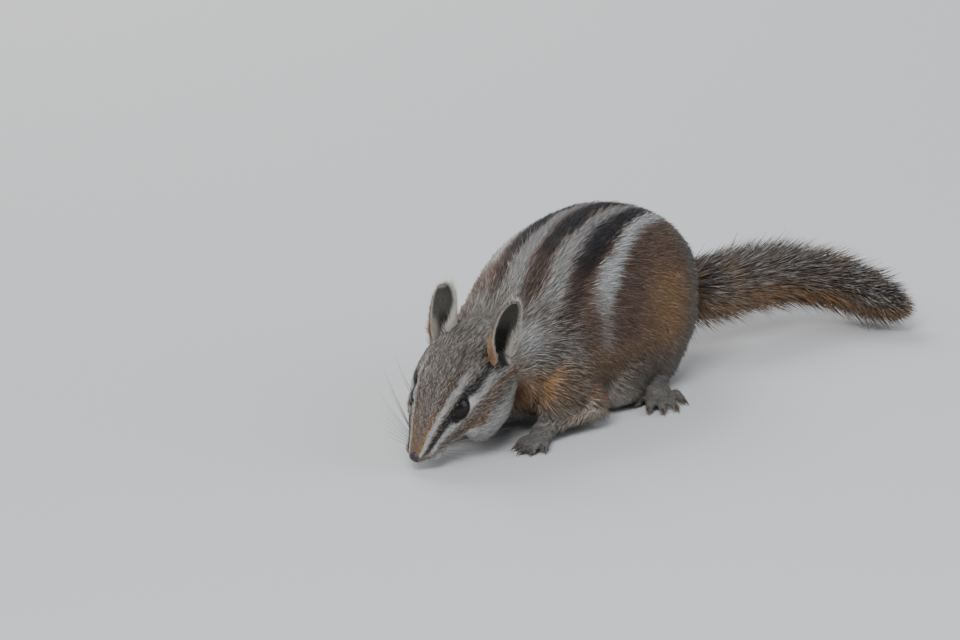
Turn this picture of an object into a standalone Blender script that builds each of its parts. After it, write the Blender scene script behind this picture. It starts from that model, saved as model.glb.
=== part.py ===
"""A chipmunk crouching with its nose to the ground, life size, parted into its named pieces.

The animal faces -X, its left side faces -Y, and it stands on the plane Z = 0. Everything is drawn in
millimetres; the last step scales it to metres and sets the origin under the middle of the model.
Outlines are the outside of the coat, except on the tail, where locks of hair stand on a thin core.
"""

import math
import random

import bmesh
import bpy
from mathutils import Euler, Matrix, Vector

MM = 0.001
GAP = 0.3  # clear space between pieces that touch
SIDES = (("left", -1), ("right", 1))  # word in the node's name, sign of Y

# Trunk, in a frame of its own whose X runs back along it, turned so that the rump swings right.
# Each ring, from the rump forward: x and z of its middle, lean forward from upright in degrees,
# half width, reach above the middle, reach below it.
TRUNK_PLACE = (2.8, 4.0)
TRUNK_TURN = 15
TRUNK = (
    (46.0, 16.1, -30, 3.5, 3.8, 5.0),
    (43.4, 17.5, -20, 9.0, 9.0, 10.0),
    (39.0, 19.0, -10, 14.6, 14.5, 15.3),
    (32.4, 20.3, -5, 18.6, 19.2, 18.3),
    (23.8, 21.1, 0, 20.8, 21.7, 19.5),
    (14.2, 21.3, 4, 21.0, 22.1, 19.7),
    (5.4, 20.7, 12, 21.0, 21.3, 19.1),
    (-1.6, 19.3, 20, 20.2, 19.5, 17.1),
    (-7.6, 18.3, 24, 19.0, 16.9, 15.7),
    (-13.5, 17.5, 24, 17.8, 14.9, 14.5),
    (-19.0, 16.9, 26, 16.2, 13.1, 13.5),
    (-24.5, 16.2, 30, 14.4, 11.2, 12.2),
    (-29.0, 15.4, 32, 12.0, 9.4, 10.6),
)
FULL_BELOW = 0.72  # how square the trunk's lower half is: 1 is oval
FULL_ABOVE = 0.9
TRUNK_SIDES = 40

# Head, in a frame of its own: the nose tip is the origin and X runs back along the head.
# Each ring: distance back, height of its middle, half width, reach above, reach below.
NOSE_TIP = (-49.8, -6.7, 2.85)
HEAD_PITCH = 29.9  # nose down
HEAD_TURN = 11.1  # nose towards the left
HEAD_ROLL = 10.5  # left side down
HEAD = (
    (0.2, 0.0, 1.8, 1.4, 1.6),
    (2.6, 0.3, 3.0, 2.6, 2.7),
    (5.6, 1.1, 4.5, 4.2, 4.0),
    (9.4, 2.0, 6.6, 6.0, 5.6),
    (13.2, 2.6, 8.6, 7.6, 7.2),
    (17.4, 3.0, 10.2, 8.8, 8.6),
    (22.2, 2.9, 11.4, 9.5, 9.6),
    (27.4, 2.4, 12.0, 9.7, 10.0),
    (32.6, 1.6, 11.8, 9.0, 9.8),
    (37.4, 0.6, 10.8, 7.8, 9.0),
)
HEAD_SIDES = 32
WHISKER_PAD = ((5.2, 2.5, -0.6), (3.6, 2.2, 2.1))  # middle and half sizes, in the head's frame
CHEEK = ((20.5, 7.2, -1.4), (9.0, 4.6, 5.6))
CHIN = ((8.0, 0.0, -2.4), (5.0, 2.7, 1.9))

NOSE_PAD = ((1.5, 0.0, 0.3), (1.9, 1.95, 1.6))
NOSE_BACK = 1.0  # the flat back of the nose, behind the tip
NOSTRIL = ((0.1, 1.0, 0.25), (0.75, 0.42, 0.34))
MOUTH = ((2.0, -1.5), (4.0, -1.9), (6.2, -2.3), (8.4, -2.3), (10.2, -1.5))  # back, height
MOUTH_REACH = (1.1, 2.5)  # into the lips and clear of them
MOUTH_WIDTH = 0.55

EYE_MIDDLE = (13.6, 5.3, 5.3)
ORBIT = (5.6, 3.6, 3.9)
EYE_RADIUS = 3.15
EYE_AXIS = (-0.34, 0.82, 0.46)
LID_HALF_LENGTH = 3.15
LID_HALF_HEIGHT = 2.25
LID_SPHERE = 3.5
LID_RADIUS = 0.62

EAR_ROOT = {"left": (28.5, 8.0, 8.6), "right": (31.0, 8.8, 5.8)}
EAR_LEAN = {"left": 10, "right": 38}  # outward
EAR_BACK = {"left": 22, "right": 58}  # leaning back
EAR_OPEN = {"left": 74, "right": 10}  # opening, outward from straight ahead
EAR_LENGTH = 14.6
EAR_WALL = 0.8
# Share of the ear's length, half width, depth of the cup.
EAR_RINGS = ((0.0, 2.6, 3.0), (0.14, 3.5, 3.2), (0.32, 4.1, 3.0), (0.52, 4.3, 2.6), (0.7, 4.1, 2.1),
             (0.84, 3.4, 1.6), (0.94, 2.3, 1.0), (1.0, 1.1, 0.5))
EAR_STEPS = 8

# Legs, in the trunk's frame: ellipsoids and limbs that melt into it. Y is that of the right side.
HAUNCH = ((18.0, 12.4, 16.2), (17.0, 8.6, 15.0), 14)  # middle, half sizes, slope in degrees
KNEE = ((6.0, 13.8, 10.4), (11.0, 6.4, 9.8), 24)
SHOULDER = ((-14.5, 11.8, 13.2), (11.5, 6.8, 12.0), 24)
UPPER_ARM = ((-13.0, 13.0, 10.0, 5.8), (-10.5, 15.2, 6.6, 5.0))  # start and end: x, y, z, radius
FOREARM = ((-10.5, 15.2, 6.2, 4.8), (-24.0, 11.8, 4.2, 2.7))

# Where the legs part from the trunk: middle and half sizes of the region taken.
HAUNCH_REGION = ((18.0, 18.5, 13.0), (20.0, 11.0, 14.5))
FORELEG_REGION = ((-14.8, 16.0, 8.5), (12.5, 7.5, 9.5))
HEAD_END = (-23.6, -1.4, 17.5)
HEAD_END_FACING = (0.979, 0.158, 0.133)
NECK_END = (-9.5, 0.0, 22.0)
NECK_END_LEAN = 20

# Feet, each in a frame of its own set in the trunk's: the heel is the origin, X runs forward.
HIND_FEET = {"left": ((23.5, 10.0), 40), "right": ((26.0, 12.0), 20)}  # heel x, y and turn outward
HIND_SOLE = ((1.8, 0.0, 1.9, 2.0), (9.0, 0.0, 2.3, 2.2), (16.5, 0.0, 2.0, 2.6))
HIND_TOES = ((-2.9, 13.5, 5.0, -30), (-1.9, 17.0, 7.4, -12), (-0.2, 18.0, 8.0, 0),
             (1.6, 17.2, 7.6, 12), (3.0, 14.5, 5.8, 28))  # side offset, start, length, turn
FORE_PAWS = {"left": ((-23.0, 12.0), 8), "right": ((-24.0, 11.8), 10)}
FORE_SOLE = ((0.4, 0.0, 2.3, 2.2), (3.6, 0.0, 1.8, 2.2), (5.4, 0.0, 1.5, 2.3))
FORE_TOES = ((-2.0, 4.6, 4.4, -26), (-0.7, 5.8, 5.4, -8), (0.7, 5.8, 5.4, 8), (2.0, 4.8, 4.6, 26))
TOE_RADIUS = 1.05
KNUCKLE_RISE = 1.0
CLAW_LENGTH = 2.2
CLAW_RADIUS = 0.5
HIND_TRIANGLES = 470
FORE_TRIANGLES = 320

# Tail: the middle of its coat, from the rump to the tip, and the radius to the tips of the locks.
TAIL = (
    (43.4, 12.6, 16.6, 6.4),
    (49.6, 12.9, 15.4, 8.0),
    (55.8, 12.0, 14.4, 8.6),
    (62.2, 10.7, 14.2, 8.8),
    (69.1, 10.0, 13.8, 8.8),
    (76.2, 8.4, 12.9, 8.8),
    (82.4, 5.2, 11.6, 8.6),
    (86.9, 0.2, 10.0, 8.2),
    (89.4, -6.7, 8.2, 7.0),
    (90.4, -14.2, 6.8, 4.8),
)
TAIL_START = 0.07  # shares of the tail's length where the pieces part
TAIL_PARTS = (("tail_base", 0.07, 0.38), ("tail_middle", 0.38, 0.69), ("tail_tip", 0.69, 1.3))
CORE_SHARE = 0.5
LOCK_ROWS = 10
LOCKS_ROUND = 6
LOCK_LENGTH = 13.0
LOCK_WIDTH = 5.2
LOCK_THICKNESS = 1.8
LOCK_SHAPE = ((0.0, 0.8), (0.3, 1.0), (0.7, 0.72))  # share of length, of width
LOCK_SEED = 11
LOWEST_HAIR = 0.3

BODY_TRIANGLES = 2200
HEAD_TRIANGLES = 5000
FLESH_VOXEL = 0.6
FLESH_ROUNDS = 10

COLOURS = {
    "head": (0.34, 0.27, 0.20), "nose": (0.10, 0.07, 0.06), "eye": (0.012, 0.010, 0.010),
    "ear": (0.20, 0.16, 0.13), "neck": (0.38, 0.32, 0.26), "torso": (0.36, 0.22, 0.12),
    "haunch": (0.40, 0.24, 0.12), "foreleg": (0.42, 0.30, 0.18), "hind_foot": (0.42, 0.38, 0.33),
    "fore_paw": (0.42, 0.36, 0.30), "tail": (0.30, 0.19, 0.10),
}


def turned(degrees, axis):
    return Matrix.Rotation(math.radians(degrees), 4, axis)


def link(name, bm):
    bmesh.ops.recalc_face_normals(bm, faces=bm.faces)
    mesh = bpy.data.meshes.new(name)
    bm.to_mesh(mesh)
    bm.free()
    obj = bpy.data.objects.new(name, mesh)
    bpy.context.scene.collection.objects.link(obj)
    return obj


def drop(*objects):
    for obj in objects:
        bpy.data.objects.remove(obj)


def settle(obj):
    """Turn an object's modifiers into its mesh."""
    evaluated = obj.evaluated_get(bpy.context.evaluated_depsgraph_get())
    mesh = bpy.data.meshes.new_from_object(evaluated)
    obj.modifiers.clear()
    obj.data = mesh
    return obj


def copy_of(obj, name):
    twin = bpy.data.objects.new(name, obj.data.copy())
    bpy.context.scene.collection.objects.link(twin)
    return twin


def combine(obj, other, operation):
    modifier = obj.modifiers.new("cut", "BOOLEAN")
    modifier.operation = operation
    modifier.solver = "EXACT"
    modifier.object = other
    return settle(obj)


def combine_many(obj, others):
    group = bpy.data.collections.new("joined")
    bpy.context.scene.collection.children.link(group)
    for other in others:
        group.objects.link(other)
    modifier = obj.modifiers.new("join", "BOOLEAN")
    modifier.operation = "UNION"
    modifier.solver = "EXACT"
    modifier.operand_type = "COLLECTION"
    modifier.collection = group
    settle(obj)
    drop(*others)
    bpy.data.collections.remove(group)
    return obj


def keep_largest(obj):
    bm = bmesh.new()
    bm.from_mesh(obj.data)
    left = set(bm.faces)
    bodies = []
    while left:
        stack = [left.pop()]
        body = set(stack)
        while stack:
            for edge in stack.pop().edges:
                for face in edge.link_faces:
                    if face in left:
                        left.discard(face)
                        body.add(face)
                        stack.append(face)
        bodies.append(body)
    bodies.sort(key=lambda body: sum(face.calc_area() for face in body))
    for body in bodies[:-1]:
        bmesh.ops.delete(bm, geom=list(body), context="FACES")
    bm.to_mesh(obj.data)
    bm.free()
    return obj


def keep_behind(obj, point, normal):
    """Keep the side of a plane that its normal points away from, and close the cut."""
    bm = bmesh.new()
    bm.from_mesh(obj.data)
    everything = bm.verts[:] + bm.edges[:] + bm.faces[:]
    bmesh.ops.bisect_plane(bm, geom=everything, dist=0.0005, plane_co=point, plane_no=normal,
                           clear_outer=True)
    bmesh.ops.holes_fill(bm, edges=[edge for edge in bm.edges if edge.is_boundary], sides=0)
    bmesh.ops.recalc_face_normals(bm, faces=bm.faces)
    bm.to_mesh(obj.data)
    bm.free()
    return obj


def stand_on_floor(obj):
    return keep_behind(obj, Vector((0, 0, 0)), Vector((0, 0, -1)))


def tidy(obj):
    """Join points that a cut left almost touching, and part every face into triangles."""
    bm = bmesh.new()
    bm.from_mesh(obj.data)
    bmesh.ops.remove_doubles(bm, verts=bm.verts, dist=0.0005)
    bmesh.ops.triangulate(bm, faces=bm.faces)
    bm.to_mesh(obj.data)
    bm.free()
    return obj


def add_ring(bm, matrix, half_width, rise, drop_down, sides, fullness=(1.0, 1.0)):
    """An oval ring across the local X axis, with its own reach and fullness above and below."""
    verts = bmesh.ops.create_circle(bm, segments=sides, radius=1)["verts"]
    for vert in verts:
        across, up = vert.co.x, vert.co.y
        power = fullness[0] if up > 0 else fullness[1]
        across = math.copysign(abs(across) ** power, across) * half_width
        up = math.copysign(abs(up) ** power, up) * (rise if up > 0 else drop_down)
        vert.co = matrix @ Vector((0, across, up))
    return list({edge for vert in verts for edge in vert.link_edges})


def close_loft(bm, rings):
    for near, far in zip(rings, rings[1:]):
        bmesh.ops.bridge_loops(bm, edges=near + far)
    for end in (rings[0], rings[-1]):
        bmesh.ops.edgeloop_fill(bm, edges=end)


def add_ball(bm, middle, half_sizes, matrix=Matrix.Identity(4), slope=0, turn=0, parts=(24, 14)):
    place = matrix @ Matrix.Translation(middle) @ turned(turn, "Z") @ turned(slope, "Y")
    size = Matrix.Diagonal((*half_sizes, 1))
    bmesh.ops.create_uvsphere(bm, u_segments=parts[0], v_segments=parts[1], radius=1,
                              matrix=place @ size)


def add_limb(bm, stations, matrix=Matrix.Identity(4), sides=12):
    """A round limb through stations of x, y, z and radius, closed by a ball at each end."""
    points = [matrix @ Vector(station[:3]) for station in stations]
    radii = [station[3] for station in stations]
    for start, end, first, last in zip(points, points[1:], radii, radii[1:]):
        along = (end - start).normalized()
        place = along.to_track_quat("X", "Z").to_matrix().to_4x4()
        rings = []
        for share in (0, 1):
            radius = first + (last - first) * share
            here = Matrix.Translation(start.lerp(end, share)) @ place
            rings.append(add_ring(bm, here, radius, radius, radius, sides))
        close_loft(bm, rings)
    for point, radius in zip(points, radii):
        add_ball(bm, point, (radius,) * 3, parts=(sides, 8))


def blended(obj, voxel, rounds, triangles):
    """Melt overlapping shapes into one skin, soften it, and thin it to a number of triangles."""
    remesh = obj.modifiers.new("melt", "REMESH")
    remesh.mode = "VOXEL"
    remesh.voxel_size = voxel
    if rounds:
        soften = obj.modifiers.new("soften", "SMOOTH")
        soften.factor = 0.5
        soften.iterations = rounds
    settle(obj)
    thin = obj.modifiers.new("thin", "DECIMATE")
    thin.ratio = min(1.0, triangles / (2 * len(obj.data.polygons)))
    settle(obj)
    return keep_largest(tidy(obj))


def head_frame():
    angles = [math.radians(angle) for angle in (HEAD_ROLL, -HEAD_PITCH, HEAD_TURN)]
    return Matrix.Translation(NOSE_TIP) @ Euler(angles).to_matrix().to_4x4()


def trunk_frame():
    return Matrix.Translation((*TRUNK_PLACE, 0)) @ turned(TRUNK_TURN, "Z")


def mirrored(point, sign):
    return Vector((point[0], point[1] * sign, point[2]))


def eye_axis(sign):
    return mirrored(EYE_AXIS, sign).normalized()


def smooth_stations(stations, between=3):
    """The same stations with others between them, along smooth curves."""
    last = len(stations) - 1
    filled = []
    for index in range(last):
        before = stations[max(index - 1, 0)]
        here = stations[index]
        after = stations[index + 1]
        beyond = stations[min(index + 2, last)]
        for step in range(between):
            filled.append(curve_point(before, here, after, beyond, step / between))
    filled.append(stations[last])
    return filled


def curve_point(before, here, after, beyond, share):
    """A point between the middle two of four stations, on a curve through them all."""
    values = []
    for a, b, c, d in zip(before, here, after, beyond):
        values.append(0.5 * (2 * b + (c - a) * share + (2 * a - 5 * b + 4 * c - d) * share ** 2
                             + (3 * b - a - 3 * c + d) * share ** 3))
    return values


def flesh_shapes():
    """Trunk, head, haunches, shoulders and upper legs as one mesh of overlapping shapes."""
    bm = bmesh.new()
    trunk = trunk_frame()
    rings = []
    for x, z, lean, half_width, rise, drop_down in smooth_stations(TRUNK):
        matrix = trunk @ Matrix.Translation((x, 0, z)) @ turned(-lean, "Y")
        rings.append(add_ring(bm, matrix, half_width, rise, drop_down, TRUNK_SIDES, (FULL_ABOVE, FULL_BELOW)))
    close_loft(bm, rings)
    head = head_frame()
    rings = []
    for back, middle, half_width, rise, drop_down in smooth_stations(HEAD):
        matrix = head @ Matrix.Translation((back, 0, middle))
        rings.append(add_ring(bm, matrix, half_width, rise, drop_down, HEAD_SIDES))
    close_loft(bm, rings)
    add_ball(bm, *CHIN, head)
    for word, sign in SIDES:
        for middle, half_sizes in (WHISKER_PAD, CHEEK):
            add_ball(bm, mirrored(middle, sign), half_sizes, head)
        for middle, half_sizes, slope in (HAUNCH, KNEE, SHOULDER):
            add_ball(bm, mirrored(middle, sign), half_sizes, trunk, slope=slope)
        for stations in (UPPER_ARM, FOREARM):
            add_limb(bm, [(*mirrored(station, sign), station[3]) for station in stations], trunk)
        root = head @ mirrored(EAR_ROOT[word], sign)
        deep = head @ (mirrored(EAR_ROOT[word], sign) - Vector((0, 0, 4)))
        add_limb(bm, [(*deep, 4.4), (*root, 3.3)])
        add_ball(bm, mirrored(EYE_MIDDLE, sign) - 1.2 * eye_axis(sign), ORBIT, head)
    root = Vector(TAIL[0][:3])
    after = Vector(TAIL[1][:3])
    add_limb(bm, [(*root.lerp(after, -0.6), 6.0), (*root.lerp(after, 0.5), 4.2)])
    return link("flesh", bm)


def ear_frame(word, sign):
    lean = turned(-sign * EAR_LEAN[word], "X") @ turned(EAR_BACK[word], "Y")
    return head_frame() @ Matrix.Translation(mirrored(EAR_ROOT[word], sign)) @ lean


def ear(word, sign, room=0.0):
    """A cupped leaf of even wall, its open side turned forward and outward.

    With some room it is the slot that the same ear needs in the flesh around it.
    """
    bm = bmesh.new()
    frame = ear_frame(word, sign) @ turned(90 - sign * EAR_OPEN[word], "Z") @ Matrix.Translation((0, 1.4, 0))
    loops = []
    for share, half_width, depth in EAR_RINGS:
        radius = (half_width ** 2 + depth ** 2) / (2 * depth)
        reach = math.atan2(half_width, radius - depth)
        reach += room / radius
        wall = EAR_WALL * (1.15 - 0.45 * share) + 2 * room
        middle = radius - depth
        verts = []
        for step in range(EAR_STEPS + 1):
            angle = reach * (2 * step / EAR_STEPS - 1)
            size = radius + wall / 2
            point = Vector((size * math.sin(angle), middle - size * math.cos(angle), share * EAR_LENGTH))
            verts.append(bm.verts.new(frame @ point))
        for step in range(EAR_STEPS, -1, -1):
            angle = reach * (2 * step / EAR_STEPS - 1)
            size = radius - wall / 2
            point = Vector((size * math.sin(angle), middle - size * math.cos(angle), share * EAR_LENGTH))
            verts.append(bm.verts.new(frame @ point))
        loops.append(verts)
    for low, high in zip(loops, loops[1:]):
        for index, vert in enumerate(low):
            after = (index + 1) % len(low)
            bm.faces.new((vert, low[after], high[after], high[index]))
    bm.faces.new(loops[0])
    bm.faces.new(loops[-1])
    return tidy(link("ear_" + word, bm))


def ear_room(word, sign):
    """The clear space above the flat root of an ear."""
    bm = bmesh.new()
    place = ear_frame(word, sign) @ Matrix.Translation((0, 0, 6 - GAP))
    bmesh.ops.create_cone(bm, cap_ends=True, segments=24, radius1=4.0, radius2=5.0, depth=12,
                          matrix=place)
    return link("ear_room", bm)


def ball(name, middle, half_sizes, matrix=Matrix.Identity(4), slope=0, parts=(24, 14)):
    bm = bmesh.new()
    add_ball(bm, middle, half_sizes, matrix, slope, parts=parts)
    return link(name, bm)


def lid_ring(sign):
    """The rim of both lids: an almond laid on a sphere just outside the eye."""
    bm = bmesh.new()
    axis = eye_axis(sign)
    along = (Vector((1, 0, 0)) - axis * axis.x).normalized()
    upward = axis.cross(along) * -sign
    middle = mirrored(EYE_MIDDLE, sign)
    steps = 16
    points = []
    for step in range(steps):
        angle = 2 * math.pi * step / steps
        across = LID_HALF_LENGTH * math.cos(angle)
        high = LID_HALF_HEIGHT * math.sin(angle)
        out = math.sqrt(LID_SPHERE ** 2 - across ** 2 - high ** 2)
        points.append(middle + along * across + upward * high + axis * out)
    loops = []
    for index, point in enumerate(points):
        ahead = (points[(index + 1) % steps] - points[index - 1]).normalized()
        outward = (point - middle).normalized()
        side = ahead.cross(outward).normalized()
        loop = []
        for corner in range(6):
            turn = 2 * math.pi * corner / 6
            offset = outward * math.cos(turn) + side * math.sin(turn)
            loop.append(bm.verts.new(head_frame() @ (point + offset * LID_RADIUS)))
        loops.append(loop)
    for index, loop in enumerate(loops):
        following = loops[(index + 1) % steps]
        for corner in range(6):
            after = (corner + 1) % 6
            bm.faces.new((loop[corner], loop[after], following[after], following[corner]))
    return link("lids", bm)


def head_surface(back, height):
    """Half width of the head's own rings at a distance back and a height."""
    for near, far in zip(HEAD, HEAD[1:]):
        if near[0] <= back <= far[0]:
            share = (back - near[0]) / (far[0] - near[0])
            middle, half_width, rise, below = [a + (b - a) * share for a, b in zip(near[1:], far[1:])]
            level = (height - middle) / (rise if height > middle else below)
            return half_width * math.sqrt(max(0.05, 1 - level * level))
    return 1.0


def mouth_cutter(sign):
    bm = bmesh.new()
    loops = []
    for back, height in ((MOUTH[0][0] - 2.0, MOUTH[0][1] + 0.4),) + MOUTH:
        side = head_surface(back, height)
        inner = max(0.0, side - MOUTH_REACH[0])
        outer = side + MOUTH_REACH[1]
        slim = MOUTH_WIDTH / 2 if back < MOUTH[-1][0] else MOUTH_WIDTH / 5
        corners = ((inner, -slim / 2), (outer, -slim), (outer, slim), (inner, slim / 2))
        loops.append([bm.verts.new(head_frame() @ Vector((back, sign * y, height + z)))
                      for y, z in corners])
    for near, far in zip(loops, loops[1:]):
        for corner in range(4):
            after = (corner + 1) % 4
            bm.faces.new((near[corner], near[after], far[after], far[corner]))
    bm.faces.new(loops[0])
    bm.faces.new(loops[-1])
    bmesh.ops.triangulate(bm, faces=bm.faces)
    return link("mouth", bm)


def claw(matrix, start, angle):
    """A bent cone from a toe's end forward and down to the floor."""
    bm = bmesh.new()
    ahead = Vector((math.cos(angle), math.sin(angle), 0))
    radii = (CLAW_RADIUS, CLAW_RADIUS * 0.8, CLAW_RADIUS * 0.45)
    loops = []
    for index, radius in enumerate(radii):
        share = index / len(radii)
        middle = start + ahead * (CLAW_LENGTH * share - 0.6) + Vector((0, 0, 0.25 - 0.75 * share ** 2))
        verts = []
        for corner in range(5):
            turn = 2 * math.pi * corner / 5
            side = Vector((-ahead.y, ahead.x, 0)) * math.cos(turn) * radius * 0.8
            verts.append(bm.verts.new(matrix @ (middle + side + Vector((0, 0, radius * math.sin(turn))))))
        loops.append(verts)
    point = bm.verts.new(matrix @ (start + ahead * (CLAW_LENGTH - 0.6) + Vector((0, 0, -0.7))))
    for near, far in zip(loops, loops[1:]):
        for corner in range(5):
            after = (corner + 1) % 5
            bm.faces.new((near[corner], near[after], far[after], far[corner]))
    bm.faces.new(loops[0])
    for corner in range(5):
        bm.faces.new((loops[-1][corner], loops[-1][(corner + 1) % 5], point))
    return link("claw", bm)


def foot_frame(heel, turn, sign):
    place = trunk_frame() @ Matrix.Translation((heel[0], sign * heel[1], 0))
    return place @ turned(180 + sign * -turn, "Z") @ Matrix.Diagonal((1, -sign, 1, 1))


def foot(name, place, sign, sole, toes, triangles):
    """Sole, toes with raised knuckles, and claws, cut flat where they bear on the floor."""
    heel, turn = place
    frame = foot_frame(heel, turn, sign)
    bm = bmesh.new()
    add_limb(bm, sole, frame)
    claws = []
    for side, start, length, angle in toes:
        heading = math.radians(angle)
        ahead = Vector((math.cos(heading), math.sin(heading), 0))
        root = Vector((start - 2.0, side * 0.8, 1.9))
        knuckle = Vector((start, side, 1.5)) + ahead * length * 0.4 + Vector((0, 0, KNUCKLE_RISE * 0.6))
        tip = Vector((start, side, TOE_RADIUS * 0.9)) + ahead * (length - CLAW_LENGTH * 0.5)
        stations = ((*root, TOE_RADIUS * 1.15), (*knuckle, TOE_RADIUS), (*tip, TOE_RADIUS * 0.92))
        add_limb(bm, stations, frame, sides=10)
        claws.append(claw(frame, tip + Vector((0, 0, 0.1)) + ahead * 0.8, heading))
    shape = blended(link(name, bm), 0.33, 2, triangles)
    return stand_on_floor(combine_many(shape, claws))


def foot_room(place, sign, sole, toes):
    """The foot's own shape, wider by the gap all round."""
    heel, turn = place
    frame = foot_frame(heel, turn, sign)
    bm = bmesh.new()
    grown = [(*station[:3], station[3] + GAP + 0.15) for station in sole]
    add_limb(bm, grown, frame)
    for side, start, length, angle in toes:
        heading = math.radians(angle)
        ahead = Vector((math.cos(heading), math.sin(heading), 0))
        root = Vector((start - 2.0, side * 0.8, 1.9))
        knuckle = Vector((start, side, 1.5)) + ahead * length * 0.4 + Vector((0, 0, KNUCKLE_RISE * 0.6))
        tip = Vector((start, side, TOE_RADIUS * 0.9)) + ahead * (length + CLAW_LENGTH)
        room = TOE_RADIUS * 1.15 + GAP + 0.15
        add_limb(bm, ((*root, room), (*knuckle, room), (*tip, room)), frame, sides=10)
    return blended(link("foot_room", bm), 0.5, 0, 900)


def tail_point(share):
    """Middle of the tail and its outer radius at a share of its length; past the end it runs on."""
    last = len(TAIL) - 1
    place = min(max(share, 0.0), 1.0) * last
    index = min(int(place), last - 1)
    local = place - index
    before = TAIL[max(index - 1, 0)]
    here = TAIL[index]
    after = TAIL[index + 1]
    beyond = TAIL[min(index + 2, last)]
    values = curve_point(before, here, after, beyond, local)
    point = Vector(values[:3])
    if share > 1.0:
        point += (Vector(TAIL[last][:3]) - Vector(TAIL[last - 1][:3])) * (share - 1.0) * last
        values[3] *= max(0.1, 1.0 - 2.6 * (share - 1.0) * last / 3)
    return point, values[3]


def tail_frame(share):
    """Point, outer radius, direction along, and two directions across the tail."""
    point, radius = tail_point(share)
    along = (tail_point(share + 0.01)[0] - tail_point(share - 0.01)[0]).normalized()
    across = along.cross(Vector((0, 0, 1))).normalized()
    upward = across.cross(along)
    return point, radius, along, across, upward


def tail_length():
    steps = 60
    points = [tail_point(step / steps)[0] for step in range(steps + 1)]
    return sum((b - a).length for a, b in zip(points, points[1:]))


def tail_core():
    bm = bmesh.new()
    rings = []
    shares = [-0.0] + [step / 24 for step in range(1, 24)] + [1.0]
    for share in shares:
        point, radius, along, across, upward = tail_frame(share)
        core = radius * CORE_SHARE * (1.0 if share < 0.9 else 0.75)
        verts = bmesh.ops.create_circle(bm, segments=10, radius=core)["verts"]
        for vert in verts:
            vert.co = point + across * vert.co.x + upward * vert.co.y
        rings.append(list({edge for vert in verts for edge in vert.link_edges}))
    close_loft(bm, rings)
    return link("tail", bm)


def lock(start, around, length, width, chance):
    """A flat lock: rooted in the core, it runs along the tail and lifts to the coat's outside."""
    bm = bmesh.new()
    whole = tail_length()
    twist = chance.uniform(-0.25, 0.25)
    lift = chance.uniform(0.88, 1.06)
    points = []
    for share in [shape[0] for shape in LOCK_SHAPE] + [1.0]:
        point, radius, along, across, upward = tail_frame(start + share * length / whole)
        angle = around + twist * share
        outward = across * math.cos(angle) + upward * math.sin(angle)
        inside = radius * CORE_SHARE * 0.62
        distance = inside + (radius * lift - inside) * share ** 0.85
        place = point + outward * distance
        place.z = max(place.z, LOWEST_HAIR)
        points.append((place, outward, along))
    loops = []
    for index, (share, wide) in enumerate(LOCK_SHAPE):
        place, outward, along = points[index]
        heading = (points[index + 1][0] - place).normalized()
        side = heading.cross(outward).normalized()
        normal = side.cross(heading).normalized()
        half_width = width / 2 * wide
        half_thick = LOCK_THICKNESS / 2 * (1 - 0.35 * share)
        offsets = (side * half_width, normal * half_thick, -side * half_width, -normal * half_thick)
        loops.append([bm.verts.new(place + offset) for offset in offsets])
    tip = bm.verts.new(points[-1][0])
    for near, far in zip(loops, loops[1:]):
        for corner in range(4):
            after = (corner + 1) % 4
            bm.faces.new((near[corner], near[after], far[after], far[corner]))
    bm.faces.new(loops[0])
    for corner in range(4):
        bm.faces.new((loops[-1][corner], loops[-1][(corner + 1) % 4], tip))
    bmesh.ops.triangulate(bm, faces=bm.faces)
    return link("lock", bm)


def tail():
    """Core and locks in one body, parted into three lengths."""
    chance = random.Random(LOCK_SEED)
    locks = []
    for row in range(LOCK_ROWS):
        for place in range(LOCKS_ROUND):
            start = (row + 0.5 * (place % 2) + chance.uniform(-0.12, 0.12)) / LOCK_ROWS * 0.95
            around = 2 * math.pi * (place + 0.5 * (row % 2) + chance.uniform(-0.16, 0.16)) / LOCKS_ROUND
            slim = 1.0 if start < 0.8 else 0.75
            length = LOCK_LENGTH * chance.uniform(0.85, 1.12) * slim
            locks.append(lock(start, around, length, LOCK_WIDTH * slim, chance))
    whole = stand_on_floor(combine_many(tail_core(), locks))
    parts = []
    for name, begin, end in TAIL_PARTS:
        part = copy_of(whole, name)
        point, _, along, _, _ = tail_frame(begin)
        keep_behind(part, point + along * GAP / 2, -along)
        if end < 1.0:
            point, _, along, _, _ = tail_frame(end)
            keep_behind(part, point - along * GAP / 2, along)
        parts.append(keep_largest(tidy(part)))
    drop(whole)
    return parts


def paint(obj, kind):
    material = bpy.data.materials.new(obj.name)
    material.use_nodes = True
    shader = material.node_tree.nodes["Principled BSDF"]
    shader.inputs["Base Color"].default_value = (*COLOURS[kind], 1)
    shader.inputs["Roughness"].default_value = 0.12 if kind == "eye" else 0.85
    shader.inputs["Metallic"].default_value = 0.0
    obj.data.materials.clear()
    obj.data.materials.append(material)
    for polygon in obj.data.polygons:
        polygon.use_smooth = True
    obj.data.set_sharp_from_angle(angle=math.radians(40))


for leftover in list(bpy.data.objects):
    bpy.data.objects.remove(leftover)

# The whole body as one skin, thinned once for the head and once for the rest.
flesh = flesh_shapes()
fine = blended(copy_of(flesh, "fine"), FLESH_VOXEL, FLESH_ROUNDS, HEAD_TRIANGLES)
coarse = blended(flesh, FLESH_VOXEL, FLESH_ROUNDS, BODY_TRIANGLES)
nodes = {}

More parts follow.
